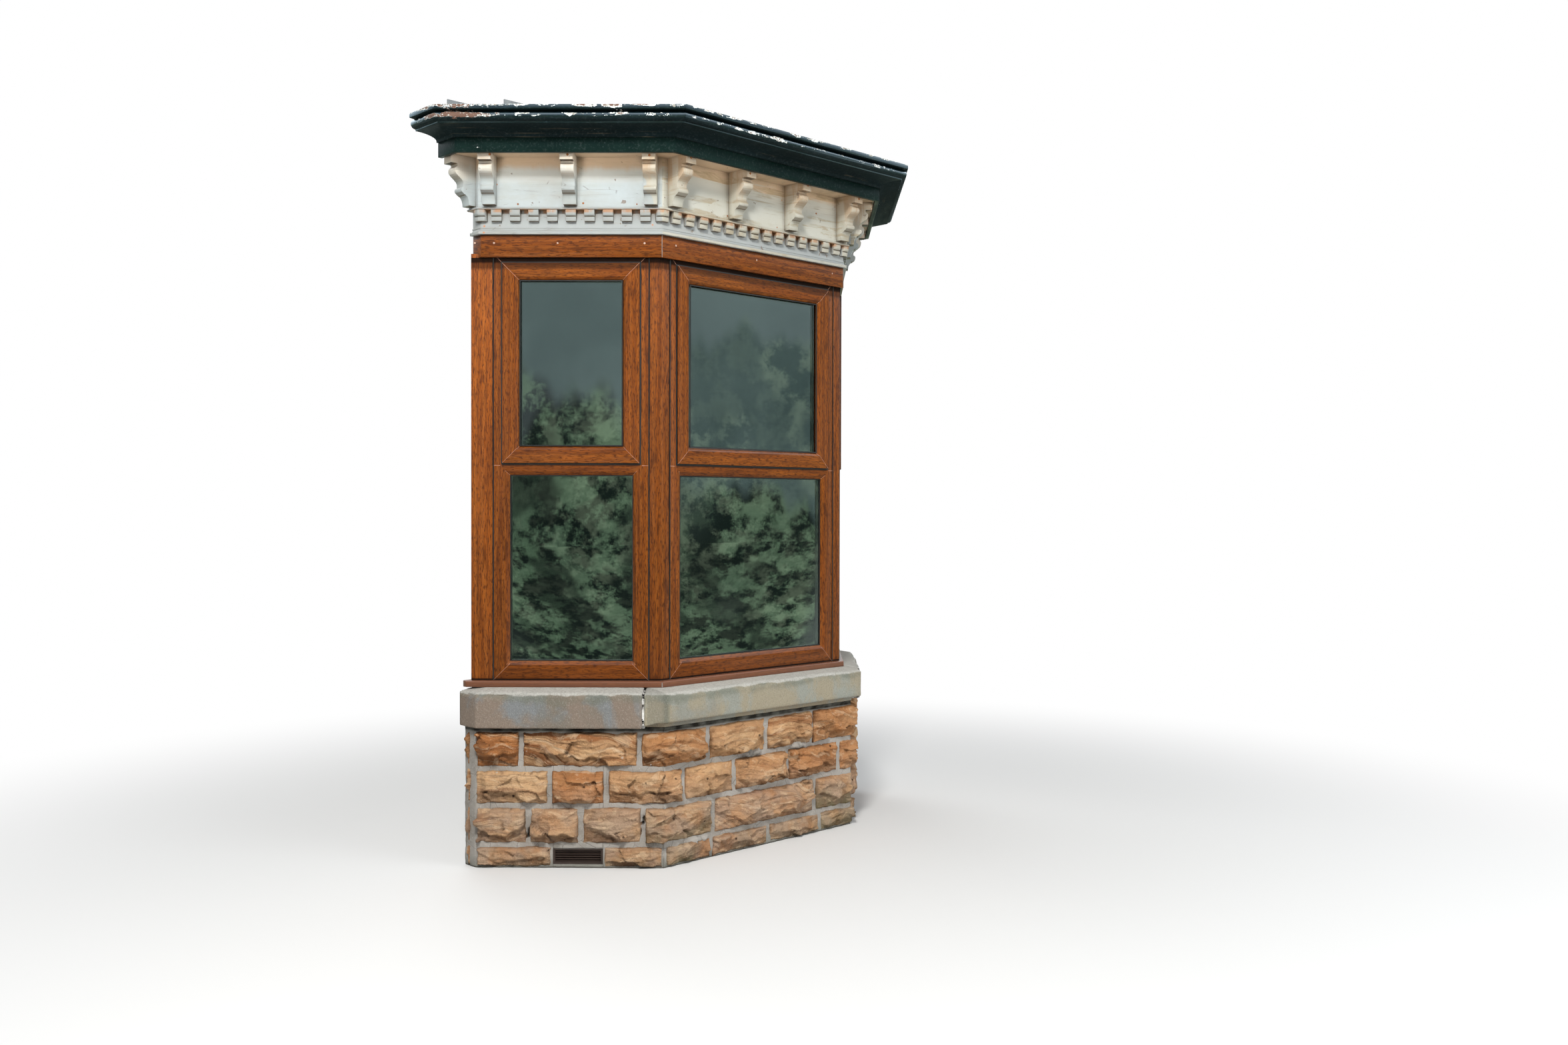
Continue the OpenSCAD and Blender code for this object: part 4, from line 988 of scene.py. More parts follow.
# A closed slab on a wall line: its front is a grid moved out by relief(s, z)
def slabOn(shape, line, s0, s1, z0, z1, step, relief, back, tone):
    verts, faces, tones = shape.verts, shape.faces, shape.tones
    turn = line.sign               # a mirrored line turns its faces round
    stops = [s0] + [k for k in line.starts[1:-1] if s0 + 1e-4 < k < s1 - 1e-4] + [s1]
    marks = []
    for a, b in zip(stops, stops[1:]):
        n = max(1, round((b - a) / step))
        marks += [a + (b - a) * k / n for k in range(n)]
    marks.append(s1)
    rows, cols = max(1, round((z1 - z0) / step)), len(marks) - 1
    first = len(verts)
    for r in range(rows + 1):
        z = z0 + (z1 - z0) * r / rows
        for s in marks:
            out, mark = relief(s, z)
            verts.append((*line.at(s, out), z))
            tones.append(mark)
    for r in range(rows):
        for c in range(cols):
            a = first + r * (cols + 1) + c
            faces.append((a, a + 1, a + cols + 2, a + cols + 1)[::turn])
    rim = [(r, 0) for r in range(rows + 1)] + [(rows, c) for c in range(1, cols + 1)]
    rim += [(r, cols) for r in range(rows - 1, -1, -1)] + [(0, c) for c in range(cols - 1, 0, -1)]
    start, count = len(verts), len(rim)
    for r, c in rim:
        verts.append((*line.at(marks[c], back), z0 + (z1 - z0) * r / rows))
        tones.append(tone)
    edge = [first + r * (cols + 1) + c for r, c in rim]
    for k in range(count):
        j = (k + 1) % count
        faces.append((edge[k], edge[j], start + j, start + k)[::turn])
    faces.append(tuple(start + k for k in range(count))[::turn])


corner = cornerAt(bay["plinthOut"])
shoulder = shoulderAt(bay["plinthOut"], bay["headHalfW"])
wallPoint = Vector((-(bay["headHalfW"] + bay["plinthOut"]), bay["wallY"]))
sidePoints = [wallPoint, shoulder, corner, (0.0, corner.y)]
lines = {
    "left": WallLine(sidePoints),
    "right": WallLine(sidePoints, mirrored=True),
    "front": WallLine([corner, (-corner.x, corner.y)]),
}
cantStart, cornerStart = lines["left"].starts[1:3]

ventVerts = [v.co for v in nodes["air_vents"].data.vertices if v.co.x < 0]
ventRun = [(Vector(v[:2]) - shoulder).dot(lines["left"].runs[1]) + cantStart for v in ventVerts]
ventZ = [v.z for v in ventVerts]
vent = {"s0": min(ventRun), "s1": max(ventRun), "z0": min(ventZ), "z1": max(ventZ)}

rock = {  # pairs are ranges that each stone draws from
    "bulge": (0.026, 0.038),       # how far a face stands out
    "lip": (0.20, 0.40),           # share of the height where the broken foot starts
    "lipLean": (-0.45, 0.45),
    "foot": (0.9, 2.1),            # how fast the foot falls back
    "across": (-0.05, 0.05),       # lean of the whole face, both ways
    "upward": (-0.12, 0.06),
    "brow": (0.08, 0.22),          # share of the height that slopes back at the top
    "browFall": (0.5, 1.2),
    "end": (0.020, 0.050),         # length that slopes back at each end
    "endFall": (0.5, 1.3),
    "endTwist": (-0.3, 0.3),
    "knocks": (3, 5),              # how many corners are broken off
    "knockS": (0.16, 0.40),
    "knockZ": (0.10, 0.36),
    "knockFall": (0.4, 1.2),
    "knockTurn": (0.4, 1.0),
    "knockTop": (0.85, 1.0),
    "footChip": (0.02, 0.05),
    "endChip": (0.015, 0.035),
    "chipDepth": 0.009,
    "round": 0.009,                # the face rises over this length from its edge
    "facet": (0.150, 0.078),       # size of the large facets
    "facetTilt": 0.031,
    "facetHollow": 0.0090,
    "flake": (0.034, 0.022),       # size of the small facets
    "flakeHollow": 0.0030,
    "narrow": 0.14,                # stones narrower than this have tamer facets
    "lowCourse": 0.55,             # the lowest course stands out less
}


def facetOf(s, z, size, shiftS, shiftZ, seed):
    return noise.voronoi(Vector((s / size[0] + shiftS, z / size[1] + shiftZ, seed)))


def rockFace(seed, s0, s1, z0, z1, look, number, green, low):
    rng = random.Random(seed)

    def draw(key):
        return rng.uniform(*rock[key])

    tone, bedded = look
    w, h = s1 - s0, z1 - z0
    midS, midZ = (s0 + s1) / 2, (z0 + z1) / 2
    bulge = draw("bulge") * low
    lip, lipLean, foot, across, upward = [draw(k) for k in ("lip", "lipLean", "foot", "across", "upward")]
    planes = [(midS, z1 - h * draw("brow"), 0.0, -draw("browFall"), bulge)]
    for side, end in ((1, s0), (-1, s1)):
        planes.append((end + side * draw("end"), midZ, side * draw("endFall"), draw("endTwist"), bulge))
    for k in range(rng.randint(*rock["knocks"])):
        toS, toZ = rng.choice((-1, 1)), rng.choice((-1, -1, 1))
        atS, atZ = midS + toS * w * draw("knockS"), midZ + toZ * h * draw("knockZ")
        fall = draw("knockFall")
        planes.append((atS, atZ, -toS * fall * draw("knockTurn"), -toZ * fall, bulge * draw("knockTop")))
    chips = [(rng.uniform(s0, s1), z0 + rng.uniform(0, 0.20) * h, draw("footChip")) for k in range(5)]
    chips += [(rng.choice((s0, s1)), rng.uniform(z0, z1), draw("endChip")) for k in range(3)]
    shift = rng.uniform(0, 90)
    tilt = rock["facetTilt"] * min(1.0, w / rock["narrow"])

    def relief(s, z):
        edge = min(s - s0, s1 - s, z - z0, z1 - z) - 0.0035 + 0.0062 * fbm(s * 15 + shift, z * 15, seed)
        broken = fbm(s * 13 + shift, z * 13, seed + 0.5, 6)
        crease = max(0.0, 1 - abs(fbm(s * 7 + shift, z * 10, seed + 7)) / 0.10)
        # The dressed planes, the broken foot and the chips
        out = bulge + (s - midS) * across + (z - midZ) * upward
        for atS, atZ, fallS, fallZ, top in planes:
            out = min(out, top + (s - atS) * fallS + (z - atZ) * fallZ + 0.0045 * broken)
        lipZ = z0 + h * (lip + lipLean * (s - midS) / w + 0.20 * fbm(s * 8 + shift, 1.7, seed))
        under = lipZ - z
        if under > 0:
            out = min(out, bulge * 0.98 - min(under, 0.006) * 0.9 - under * foot + 0.010 * broken)
        out = max(out, 0.003)
        for chipS, chipZ, r in chips:
            d = math.hypot(s - chipS, (z - chipZ) * 1.3) / r
            if d < 1:
                out -= rock["chipDepth"] * (1 - d * d) ** 0.7
        # Large tilted facets, small ones, and ridges along the bedding
        wavyS = s + 0.020 * fbm(s * 9, z * 9, seed + 3, 3)
        wavyZ = z + 0.014 * fbm(s * 9, z * 9, seed + 5, 3)
        gaps, hearts = facetOf(wavyS, wavyZ, rock["facet"], shift, 0.0, seed)
        heart = hearts[0]
        slopeS = 2 * noise.noise(heart * 3.7)
        slopeZ = 2 * noise.noise(heart * 2.9 + Vector((5.1, 2.3, 0.7)))
        fromS, fromZ = wavyS / rock["facet"][0] + shift - heart.x, wavyZ / rock["facet"][1] - heart.y
        out += tilt * (fromS * slopeS + fromZ * slopeZ)
        out += rock["facetHollow"] * (min(gaps[0], 1.0) ** 2 - 0.30)
        small = facetOf(wavyS, wavyZ, rock["flake"], 0.0, shift, seed)[0][0]
        out += rock["flakeHollow"] * (min(small, 1.0) ** 2 - 0.30)
        bed = fbm(s * 4 + shift, z * 60 + 2.4 * fbm(s * 3.5, z * 5, shift, 2), seed, 3)
        out += (0.0012 + 0.0034 * bedded) * clamped(bed * 2, -0.7, 0.7)
        out += 0.0026 * fbm(s * 26 + shift, z * 34, seed * 1.7, 5) - 0.0020 * crease * crease
        out = max(out, -0.002)
        # Dark: painted shade along the edges, under the broken foot and in creases, partly dirt
        dark = max(0.0, 1 - edge / 0.007) * 0.85 + clamped(under / 0.04, 0.0, 0.6) * (0.9 + 0.8 * broken)
        dark += 0.20 * crease + 0.08 * max(0.0, 1 - (gaps[1] - gaps[0]) / 0.04)
        height = plinth["margin"] + (out - plinth["margin"]) * eased(clamped(edge / rock["round"]))
        return height, (tone, clamped(dark), green * max(0.0, 1 - (z - z0) / 0.14), number + bedded)
    return relief


# A side's courses begin at the wall with a strip of pointing, the front's lie between fixed ends
def layStones(side, ends=None):
    shape = Shape()
    g = plinth["joint"] / 2
    for row, joints in enumerate(plinth["rows"][side]):
        z0 = plinth["beds"][row] + (g if row else 0.0)
        z1 = plinth["beds"][row + 1] - (plinth["underSill"] if row == 3 else g)
        stops = [ends[0][row], *joints, ends[1][row]] if ends else joints
        looks = plinth["looks"][side][row]
        for k, (a, b) in enumerate(zip(stops, stops[1:])):
            if not ends and k == 1:
                continue       # pointing beside the wall
            a = vent["s1"] - plinth["ventGap"] if a == "vent" else a
            b = vent["s0"] + plinth["ventGap"] if b == "vent" else b
            seed = plinth["seeds"][side] + row * 17 + k * 3
            number = seed % 23
            look = looks[(k if ends else max(0, k - 1)) % len(looks)]
            green = 0.8 if row <= 1 and a > cornerStart - 0.1 else (0.35 if row == 0 else 0.05)
            span = (a + (plinth["wallJoint"] if not ends and k == 2 else g), b - g, z0, z1)
            face = rockFace(seed, *span, look, number, green, 1.0 if row else rock["lowCourse"])
            # The sides and back of a stone get half the painted shade
            tone = (look[0], 0.5, 0.0, number)
            slabOn(shape, lines[side], *span, plinth["step"], face, plinth["stoneBack"], tone)
    addStones("plinth_stones_" + side, shape, stoneFinish, ["plinth_" + side])


def layPointing(side, spans, holes=(), lumps=()):
    def relief(s, z):
        out = plinth["mortarOut"] + 0.0035 * fbm(s * 10, z * 10, 3.3, 3)
        out += 0.0012 * fbm(s * 60, z * 60, 1.3, 2)
        # Dark is painted shade: near black in the holes and in the bed under the sill
        dark = 0.0
        for holeS, holeZ, r in holes:
            d = math.hypot(s - holeS, (z - holeZ) * 0.6) / r + 0.5 * fbm(s * 50, z * 50, 8.8, 2)
            if d < 1:
                out -= 0.030 * (1 - d)
                dark = min(1.0, (1 - d) * 2.5)
        for lumpS, lumpZ, reachS, reachZ in lumps:
            d = math.hypot((s - lumpS) / reachS, (z - lumpZ) / reachZ) + 0.6 * fbm(s * 22, z * 22, 5.1)
            if d < 1:
                out += 0.020 * min(1.0, (1 - d) * 1.6) * (1.0 + 0.9 * fbm(s * 60, z * 60, 4.4))
        low = clamped((z - plinth["beds"][-1] + plinth["underSill"] + 0.004) / 0.006)
        dark = max(dark, 0.80 * low * (1.0 + 0.6 * fbm(s * 20, z * 40, 6.1, 3)))
        return out, (0, dark, 0.75 * low + 0.7 * max(0.0, 1 - z / 0.06), 1)

    shape = Shape()
    for span in spans:
        slabOn(shape, lines[side], *span, plinth["bedStep"], relief, plinth["mortarBack"], (0, 0, 0, 1))
    addStones("plinth_pointing_" + side, shape, mortarFinish)


def wallCore(side, steps):  # the rubble behind the stones, as upright blocks
    bm = bmesh.new()
    for z0, z1, points in steps:
        low = [bm.verts.new((x, y, z0)) for x, y in points]
        high = [bm.verts.new((x, y, z1)) for x, y in points]
        n = len(points)
        bm.faces.new(low[::-1])
        bm.faces.new(high)
        for k in range(n):
            bm.faces.new((low[k], low[(k + 1) % n], high[(k + 1) % n], high[k]))
    bmesh.ops.recalc_face_normals(bm, faces=bm.faces[:])
    name = "plinth_core_" + side
    mesh = bpy.data.meshes.new(name)
    bm.to_mesh(mesh)
    bm.free()
    addPiece(name, mesh, rubbleFinish)


def sideHalf(o, turn):  # one edge of a side wall's plan, from the house wall to the corner
    c, bend = cornerAt(o), shoulderAt(o, bay["headHalfW"])
    points = [(bend.x, bay["wallY"]), tuple(bend), tuple(c)]
    if bend.y >= bay["wallY"] - 0.001:
        points = [(c.x + c.y - bay["wallY"], bay["wallY"]), tuple(c)]
    return [(x * turn, y) for x, y in points]


def sidePlan(inner, outer, turn):
    return sideHalf(outer, turn) + sideHalf(inner, turn)[::-1]


def frontPlan(inner, outer):
    a, b = cornerAt(outer), cornerAt(inner)
    return [tuple(a), (-a.x, a.y), (-b.x, b.y), tuple(b)]


for side in ("left", "right"):
    layStones(side)
layStones("front", ([row[-1] - cornerStart for row in plinth["rows"]["left"]],
                    [-2 * corner.x - (row[-1] - cornerStart) for row in plinth["rows"]["right"]]))
top, face = bay["plinthH"], 0.001      # the core's face lies just inside the pointing's back
v0, v1 = vent["s0"], vent["s1"]
for side in ("left", "right"):
    layPointing(side, [(0.0, v0, 0.0, top), (v1, cornerStart, 0.0, top), (v0, v1, vent["z1"], top),
                       (v0, v1, 0.0, vent["z0"])], holes=plinth["holes"])
layPointing("front", [(0.0, -2 * corner.x, 0.0, top)], lumps=plinth["lumps"])
for side, turn in (("left", 1), ("right", -1)):
    wallCore(side, [(0.0, top, sidePlan(bay["plinthIn"], face, turn)),
                    (top - 0.001, bay["sillTop"], sidePlan(bay["plinthIn"], bay["sillBack"], turn))])
wallCore("front", [(0.0, top, frontPlan(bay["plinthIn"], face)),
                   (top - 0.001, bay["sillTop"], frontPlan(bay["plinthIn"], bay["sillBack"]))])
print("plinth laid")

# Copies of the CAD shapes with worn or softened edges


def mergedCopy(node):
    mesh = nodes[node].data.copy()
    bm = bmesh.new()
    bm.from_mesh(mesh)
    bmesh.ops.remove_doubles(bm, verts=bm.verts[:], dist=2e-5)
    bmesh.ops.dissolve_limit(bm, angle_limit=math.radians(0.6), verts=bm.verts[:], edges=bm.edges[:])
    bmesh.ops.recalc_face_normals(bm, faces=bm.faces[:])
    bm.to_mesh(mesh)
    bm.free()
    return mesh


def softCopy(node, width):
    mesh = mergedCopy(node)
    if "custom_normal" in mesh.attributes:
        mesh.attributes.remove(mesh.attributes["custom_normal"])
    done = smoothed(worked(mesh, "BEVEL", width=width, segments=2, limit_method="ANGLE",
                           angle_limit=math.radians(28), use_clamp_overlap=True))
    done.set_sharp_from_angle(angle=math.radians(35))
    addPiece(node + "_finished", done, nodes[node].material_slots[0].material, [node])


sill = {
    "voxel": 0.006,
    "smooth": 3,
    "out": 0.105,          # the worn edge, as a distance out and a height
    "arris": 0.755,
    "wear": 0.012,
    "notch": 0.010,        # deeper bites here and there
    "wornOver": (0.03, 0.68),
    "waves": 0.0009,
}


def wornSill(node, seed):
    done = worked(mergedCopy(node), "REMESH", mode="VOXEL", voxel_size=sill["voxel"])
    bm = bmesh.new()
    bm.from_mesh(done)
    for k in range(sill["smooth"]):
        bmesh.ops.smooth_vert(bm, verts=bm.verts[:], factor=0.35, use_axis_x=True, use_axis_y=True,
                              use_axis_z=True)
    bm.normal_update()
    moves = []
    for v in bm.verts:
        x, y, z = v.co
        if y > bay["wallY"] - 0.004:       # the wall's plane stays flat
            moves.append(Vector((0, bay["wallY"] - y, 0)))
            continue
        o = offsetOf(x, y, bay["sillHalfW"])
        wear = sill["wear"] * (1.0 + 1.1 * fbm(x * 5 + seed, y * 5, 2.0))
        wear += sill["notch"] * max(0.0, fbm(x * 17, y * 17, seed, 3) - 0.12)
        inside = (sill["out"] - o) + (sill["arris"] - z) * 0.8
        lowO, lowZ = sill["wornOver"]
        push = max(0.0, wear - max(inside, 0.0)) if z > lowZ and o > lowO else 0.0
        wave = v.normal * (sill["waves"] * fbm(x * 30, y * 30, z * 30, 3))
        moves.append(-v.normal * push * 0.75 + wave)
    for v, move in zip(bm.verts, moves):
        v.co += move
    bm.to_mesh(done)
    bm.free()
    finish = sillFrontFinish if node == "sill_front" else sillFinish
    addPiece(node + "_stone", smoothed(done), finish, [node])


softEdges = [  # material slot, width of the rounded edge, and the pieces that have it
    ("white_paint", 0.0012, [*onSides("brackets_"), "dentils", "ledge", "dentil_band"]),
    ("black_paint", 0.0020, onSides("gutter_")),
    ("black_paint", 0.0015, ["cornice_board"]),
    ("woodgrain_foil", 0.0018, ["fascia"]),
    ("sub_cill_foil", 0.0018, ["sub_cill"]),
    ("woodgrain_foil", 0.0018, ["jamb_left", "jamb_right", "corner_post_left", "corner_post_right"]),
    ("woodgrain_foil", 0.0015, ["window_frame_left", "casement_left", "window_frame_front",
                                "casement_front", "window_frame_right", "casement_right"]),
]

for k, node in enumerate(onSides("sill_")):
    wornSill(node, 5.0 + k)
for slot, width, group in softEdges:
    for node in group:
        softCopy(node, width)
print("edges softened")

# Small pieces: nails, seals, joints and boards


def realCopies(points, item, inputs=None):
    laid = Node("GeometryNodeInstanceOnPoints", {"Points": points, "Instance": item, **(inputs or {})})
    return Node("GeometryNodeRealizeInstances", {"Geometry": laid[0]})[0]


def finished(shape, finish):
    return Node("GeometryNodeSetMaterial", {"Geometry": shape, "Material": finish})[0]


# Nail heads on points, each turned to its point's facing
def makeHeads():
    given, result = newTree("GeometryNodeTree", "nail heads",
                            {"Points": "Geometry", "Radius": "Float", "Flatness": "Float", "Seed": "Int",
                             "Finish": "Material"}, {"Mesh": "Geometry"})
    ball = Node("GeometryNodeMeshUVSphere", {"Segments": 12, "Rings": 8, "Radius": 1.0})["Mesh"]
    head = Node("GeometryNodeTransform", {"Geometry": ball, "Scale": vector(1.0, 1.0, given["Flatness"])})[0]
    facing = Node("GeometryNodeInputNamedAttribute", {"Name": "facing"}, data_type="FLOAT_VECTOR")[0]
    turn = Node("FunctionNodeAlignRotationToVector", {"Vector": facing}, axis="Z")[0]
    varied = Node("FunctionNodeRandomValue", {2: 0.8, 3: 1.15, "Seed": given["Seed"]}, data_type="FLOAT")[1]
    heads = realCopies(given["Points"], head, {"Rotation": turn, "Scale": varied * given["Radius"]})
    result.feed({"Mesh": finished(heads, given["Finish"])})
    return bench["tree"]


# A plate cut into boards that run along x
def makeBoards():
    given, result = newTree("GeometryNodeTree", "boards",
                            {"Plate": "Geometry", "Count": "Int", "Pitch": "Float", "Gap": "Float",
                             "Length": "Float", "Start": "Vector", "Finish": "Material"},
                            {"Mesh": "Geometry"})
    line = Node("GeometryNodeMeshLine", {"Count": given["Count"], "Start Location": given["Start"],
                                         "Offset": vector(0.0, given["Pitch"], 0.0)})[0]
    size = vector(given["Length"], given["Pitch"] - given["Gap"], 0.2)
    board = Node("GeometryNodeMeshCube", {"Size": size})["Mesh"]
    cut = Node("GeometryNodeMeshBoolean", operation="INTERSECT", solver="EXACT")
    cut.feed({"Mesh 2": given["Plate"]})
    cut.feed({"Mesh 2": realCopies(line, board)})
    result.feed({"Mesh": finished(cut["Mesh"], given["Finish"])})
    return bench["tree"]


headTree, boardTree = makeHeads(), makeBoards()


def nailHeads(name, own, spots):
    shape = Shape()
    shape.verts = [spot for spot, facing in spots]
    mesh = shape.mesh("spots")
    store = mesh.attributes.new("facing", "FLOAT_VECTOR", "POINT")
    store.data.foreach_set("vector", [c for spot, facing in spots for c in facing])
    addPiece(name, smoothed(worked(mesh, "NODES", own, node_group=headTree)), own["Finish"])


def onSide(distance, o, z, turn=1):  # a point on a canted face, counted back from the front corner
    x = -bay["frontW"] / 2 - distance * diag - o * diag
    return (x * turn, bay["frontY"] + distance * diag - o * diag, z)


def onFront(x, o, z):
    return (x, bay["frontY"] - o, z)


outFront = (0.0, -1.0, 0.0)
outSides = ((1, (-diag, -diag, 0.0)), (-1, (diag, -diag, 0.0)))
nails = {
    "fascia": {"Radius": 0.0040, "Flatness": 0.35, "Seed": 3, "Finish": nailCap, "slot": "woodgrain_foil",
               "side": (0.069, 0.443, 0.717, 0.800), "front": (0.072, 0.554, 1.058),
               "z": 2.683, "out": 0.0152},
    "bracket": {"Radius": 0.0055, "Flatness": 0.30, "Seed": 5, "Finish": rustyNail, "slot": "white_paint",
                "o": 0.034, "out": 0.1564, "end": 0.052, "z": 3.028, "strayX": 0.012, "strayZ": 0.006},
    "frieze": {"Radius": 0.0038, "Flatness": 0.30, "Seed": 9, "Finish": rustyNail, "slot": "white_paint",
               "side": ((0.020, 2.852), (0.100, 2.846), (0.330, 2.850), (0.610, 2.846), (0.700, 2.930)),
               "front": ((-0.50, 2.848), (-0.21, 2.852), (0.10, 2.846), (0.36, 2.95), (0.52, 2.850)),
               "out": 0.0345},
}


def fasciaSpots(own):
    o, z = own["out"], own["z"]
    found = [(onSide(d, o, z, turn), facing) for turn, facing in outSides for d in own["side"]]
    return found + [(onFront(d - bay["frontW"] / 2, o, z), outFront) for d in own["front"]]


def bracketSpots(own):  # one nail in each bracket's foot, a little astray
    rng = random.Random(7)
    found = []
    side = halfTurn * own["o"]
    width = (bay["headHalfW"] - bay["frontW"] / 2) / diag + side

    def stray(way):
        return rng.uniform(-own[way], own[way])

    for d in (own["end"], width / 2, width - own["end"]):
        for turn, facing in outSides:
            along = d - side + stray("strayX")
            found.append((onSide(along, own["out"], own["z"] + stray("strayZ"), turn), facing))
    span = bay["frontW"] + 2 * side - 2 * own["end"]
    for k in range(4):
        x = -bay["frontW"] / 2 - side + own["end"] + span * k / 3 + stray("strayX")
        found.append((onFront(x, own["out"], own["z"] + stray("strayZ")), outFront))
    return found


def friezeSpots(own):
    found = [(onSide(d, own["out"], z, turn), facing) for turn, facing in outSides for d, z in own["side"]]
    return found + [(onFront(x, own["out"], z), outFront) for x, z in own["front"]]


nailHeads("fascia_nails", nails["fascia"], fasciaSpots(nails["fascia"]))
nailHeads("bracket_nails", nails["bracket"], bracketSpots(nails["bracket"]))
nailHeads("frieze_nails", nails["frieze"], friezeSpots(nails["frieze"]))


def ringOn(shape, side, x0, x1, z0, z1, t, o0, o1):  # a rectangular ring in a window's plane, t wide
    spin, (ox, oy) = windows[side][:2]
    c, k = math.cos(spin), math.sin(spin)
    outBack = len(shape.verts)
    inBack, outFace, inFace = outBack + 4, outBack + 8, outBack + 12
    for o in (o0, o1):
        for inset in (0.0, t):
            left, right, low, high = x0 + inset, x1 - inset, z0 + inset, z1 - inset
            for x, z in ((left, low), (right, low), (right, high), (left, high)):
                shape.verts.append((ox + x * c + o * k, oy + x * k - o * c, z))
    for a in range(4):
        b = (a + 1) % 4
        shape.faces.append((outFace + a, outFace + b, inFace + b, inFace + a))
        shape.faces.append((outBack + b, outBack + a, inBack + a, inBack + b))
        shape.faces.append((outBack + a, outBack + b, outFace + b, outFace + a))
        shape.faces.append((inBack + b, inBack + a, inFace + a, inFace + b))


def boxAlong(shape, a, b, t):  # a square bar between two points, t thick
    a, b = Vector(a), Vector(b)
    d = (b - a).normalized()
    side = d.cross(Vector((0, 0, 1))) if abs(d.z) < 0.9 else Vector((1, 0, 0))
    side.normalize()
    up = side.cross(d)
    first = len(shape.verts)
    for p in (a, b):
        for u, v in ((-1, -1), (1, -1), (1, 1), (-1, 1)):
            shape.verts.append(tuple(p + side * u * t / 2 + up * v * t / 2))
    for k in range(4):
        j = (k + 1) % 4
        shape.faces.append((first + k, first + 4 + k, first + 4 + j, first + j))
    shape.faces.append((first, first + 1, first + 2, first + 3))
    shape.faces.append((first + 7, first + 6, first + 5, first + 4))


seals = {  # insets of the panes' edges in the fixed light and in the casement, with their heights
    "sightLow": 0.0695,
    "lowZ": (0.8805, 1.6875),
    "lowO": (-0.0200, -0.0165),
    "sightHigh": 0.1135,
    "highZ": (1.8115, 2.5265),
    "highO": (-0.0020, 0.0015),
    "t": 0.0045,
    "gap": 0.0060,         # round the casement: a black gasket, partly standing for shade in the gap
    "gapO": (-0.0005, 0.0022),
    "endO": 0.0004,        # upright black bars at the frames' ends, standing for shade in the joint beside the jamb or post
    "endT": 0.0035,
}


def layRing(shape, side, inset, heights, t, offsets):
    ringOn(shape, side, inset, windows[side][2] - inset, *heights, t, *offsets)


# Black rubber: gaskets round the panes, a ring round each casement and bars at the frames' ends; the ring and
# bars partly stand for shade in the gaps
for side, (spin, (ox, oy), width) in windows.items():
    shape = Shape()
    gap = seals["gap"]
    layRing(shape, side, seals["sightLow"], seals["lowZ"], seals["t"], seals["lowO"])
    layRing(shape, side, seals["sightHigh"], seals["highZ"], seals["t"], seals["highO"])
    heights = (casement["z0"] - gap, casement["z1"] + gap)
    layRing(shape, side, casement["inset"] - gap, heights, gap, seals["gapO"])
    for x in (0.0, width):
        foot = (ox + x * math.cos(spin) + seals["endO"] * math.sin(spin),
                oy + x * math.sin(spin) - seals["endO"] * math.cos(spin))
        boxAlong(shape, (*foot, bay["frameZ0"] + 0.001), (*foot, bay["fasciaZ0"]), seals["endT"])
    addPiece("seals_" + side, shape.mesh("seals"), rubber)

sealantBars = [  # at the corners of the plan: both ends as offset and height, and the thickness
    (0.0145, 2.6235, 0.0145, 2.7185, 0.0026),
    (0.0215, 0.7720, 0.0215, 0.7900, 0.0035),
    (0.0215, 0.7905, 0.0040, 0.7975, 0.0030),
]
shape = Shape()
for turn in (1, -1):
    for lowO, lowZ, highO, highZ, t in sealantBars:
        low, high = cornerAt(lowO), cornerAt(highO)
        boxAlong(shape, (low.x * turn, low.y, lowZ), (high.x * turn, high.y, highZ), t)
addPiece("corner_sealant", shape.mesh("corner_sealant"), sealant)

sillJoint = {
    "from": 0.059,
    "to": 0.069,
    "contour": [(0.060, 0.6055), (0.104, 0.6055), (0.104, 0.750), (0.088, 0.7575), (0.022, 0.7700)],
    "step": 0.005,
    "topZ": 0.751,         # over this the mortar sinks down, under it back
    "back": 0.0015,
    "uneven": 0.002,
    "hole": 0.014,         # where mortar is missing
}


# White mortar with black gaps in the two joints of the sill, as a slab whose outer edge is uneven
def layJoint(shape, turn):
    contour, edge = sillJoint["contour"], []
    for a, b in zip(contour, contour[1:]):
        n = max(1, round(math.dist(a, b) / sillJoint["step"]))
        edge += [(a[0] + (b[0] - a[0]) * k / n, a[1] + (b[1] - a[1]) * k / n) for k in range(n)]
    edge.append(contour[-1])
    first = len(shape.verts)
    for o, z in edge:
        back = sillJoint["back"] + sillJoint["uneven"] * abs(fbm(z * 90, o * 90, 7.7, 2))
        back += sillJoint["hole"] if fbm(z * 60, o * 40, 2.2, 3) > 0.17 else 0.0
        outer = (o, z - back) if z > sillJoint["topZ"] else (o - back, z)
        for d in (sillJoint["from"], sillJoint["to"]):
            shape.verts.append(onSide(d, *outer, turn))
            shape.verts.append(onSide(d, min(o, 0.04) - 0.02, max(0.62, z - 0.03), turn))
    last = first + 4 * (len(edge) - 1)
    for a in range(first, last, 4):
        b = a + 4
        for quad in ((a, b, b + 2, a + 2), (a + 1, b + 1, b, a), (a + 2, b + 2, b + 3, a + 3),
                     (a + 3, b + 3, b + 1, a + 1)):
            shape.faces.append(quad[::-turn])
    for a, sign in ((first, 1), (last, -1)):
        shape.faces.append((a, a + 2, a + 3, a + 1)[::sign * turn])


shape = Shape()
for turn in (1, -1):
    layJoint(shape, turn)
addPiece("sill_joint_mortar", shape.mesh("sill_joint_mortar"), jointMortar)

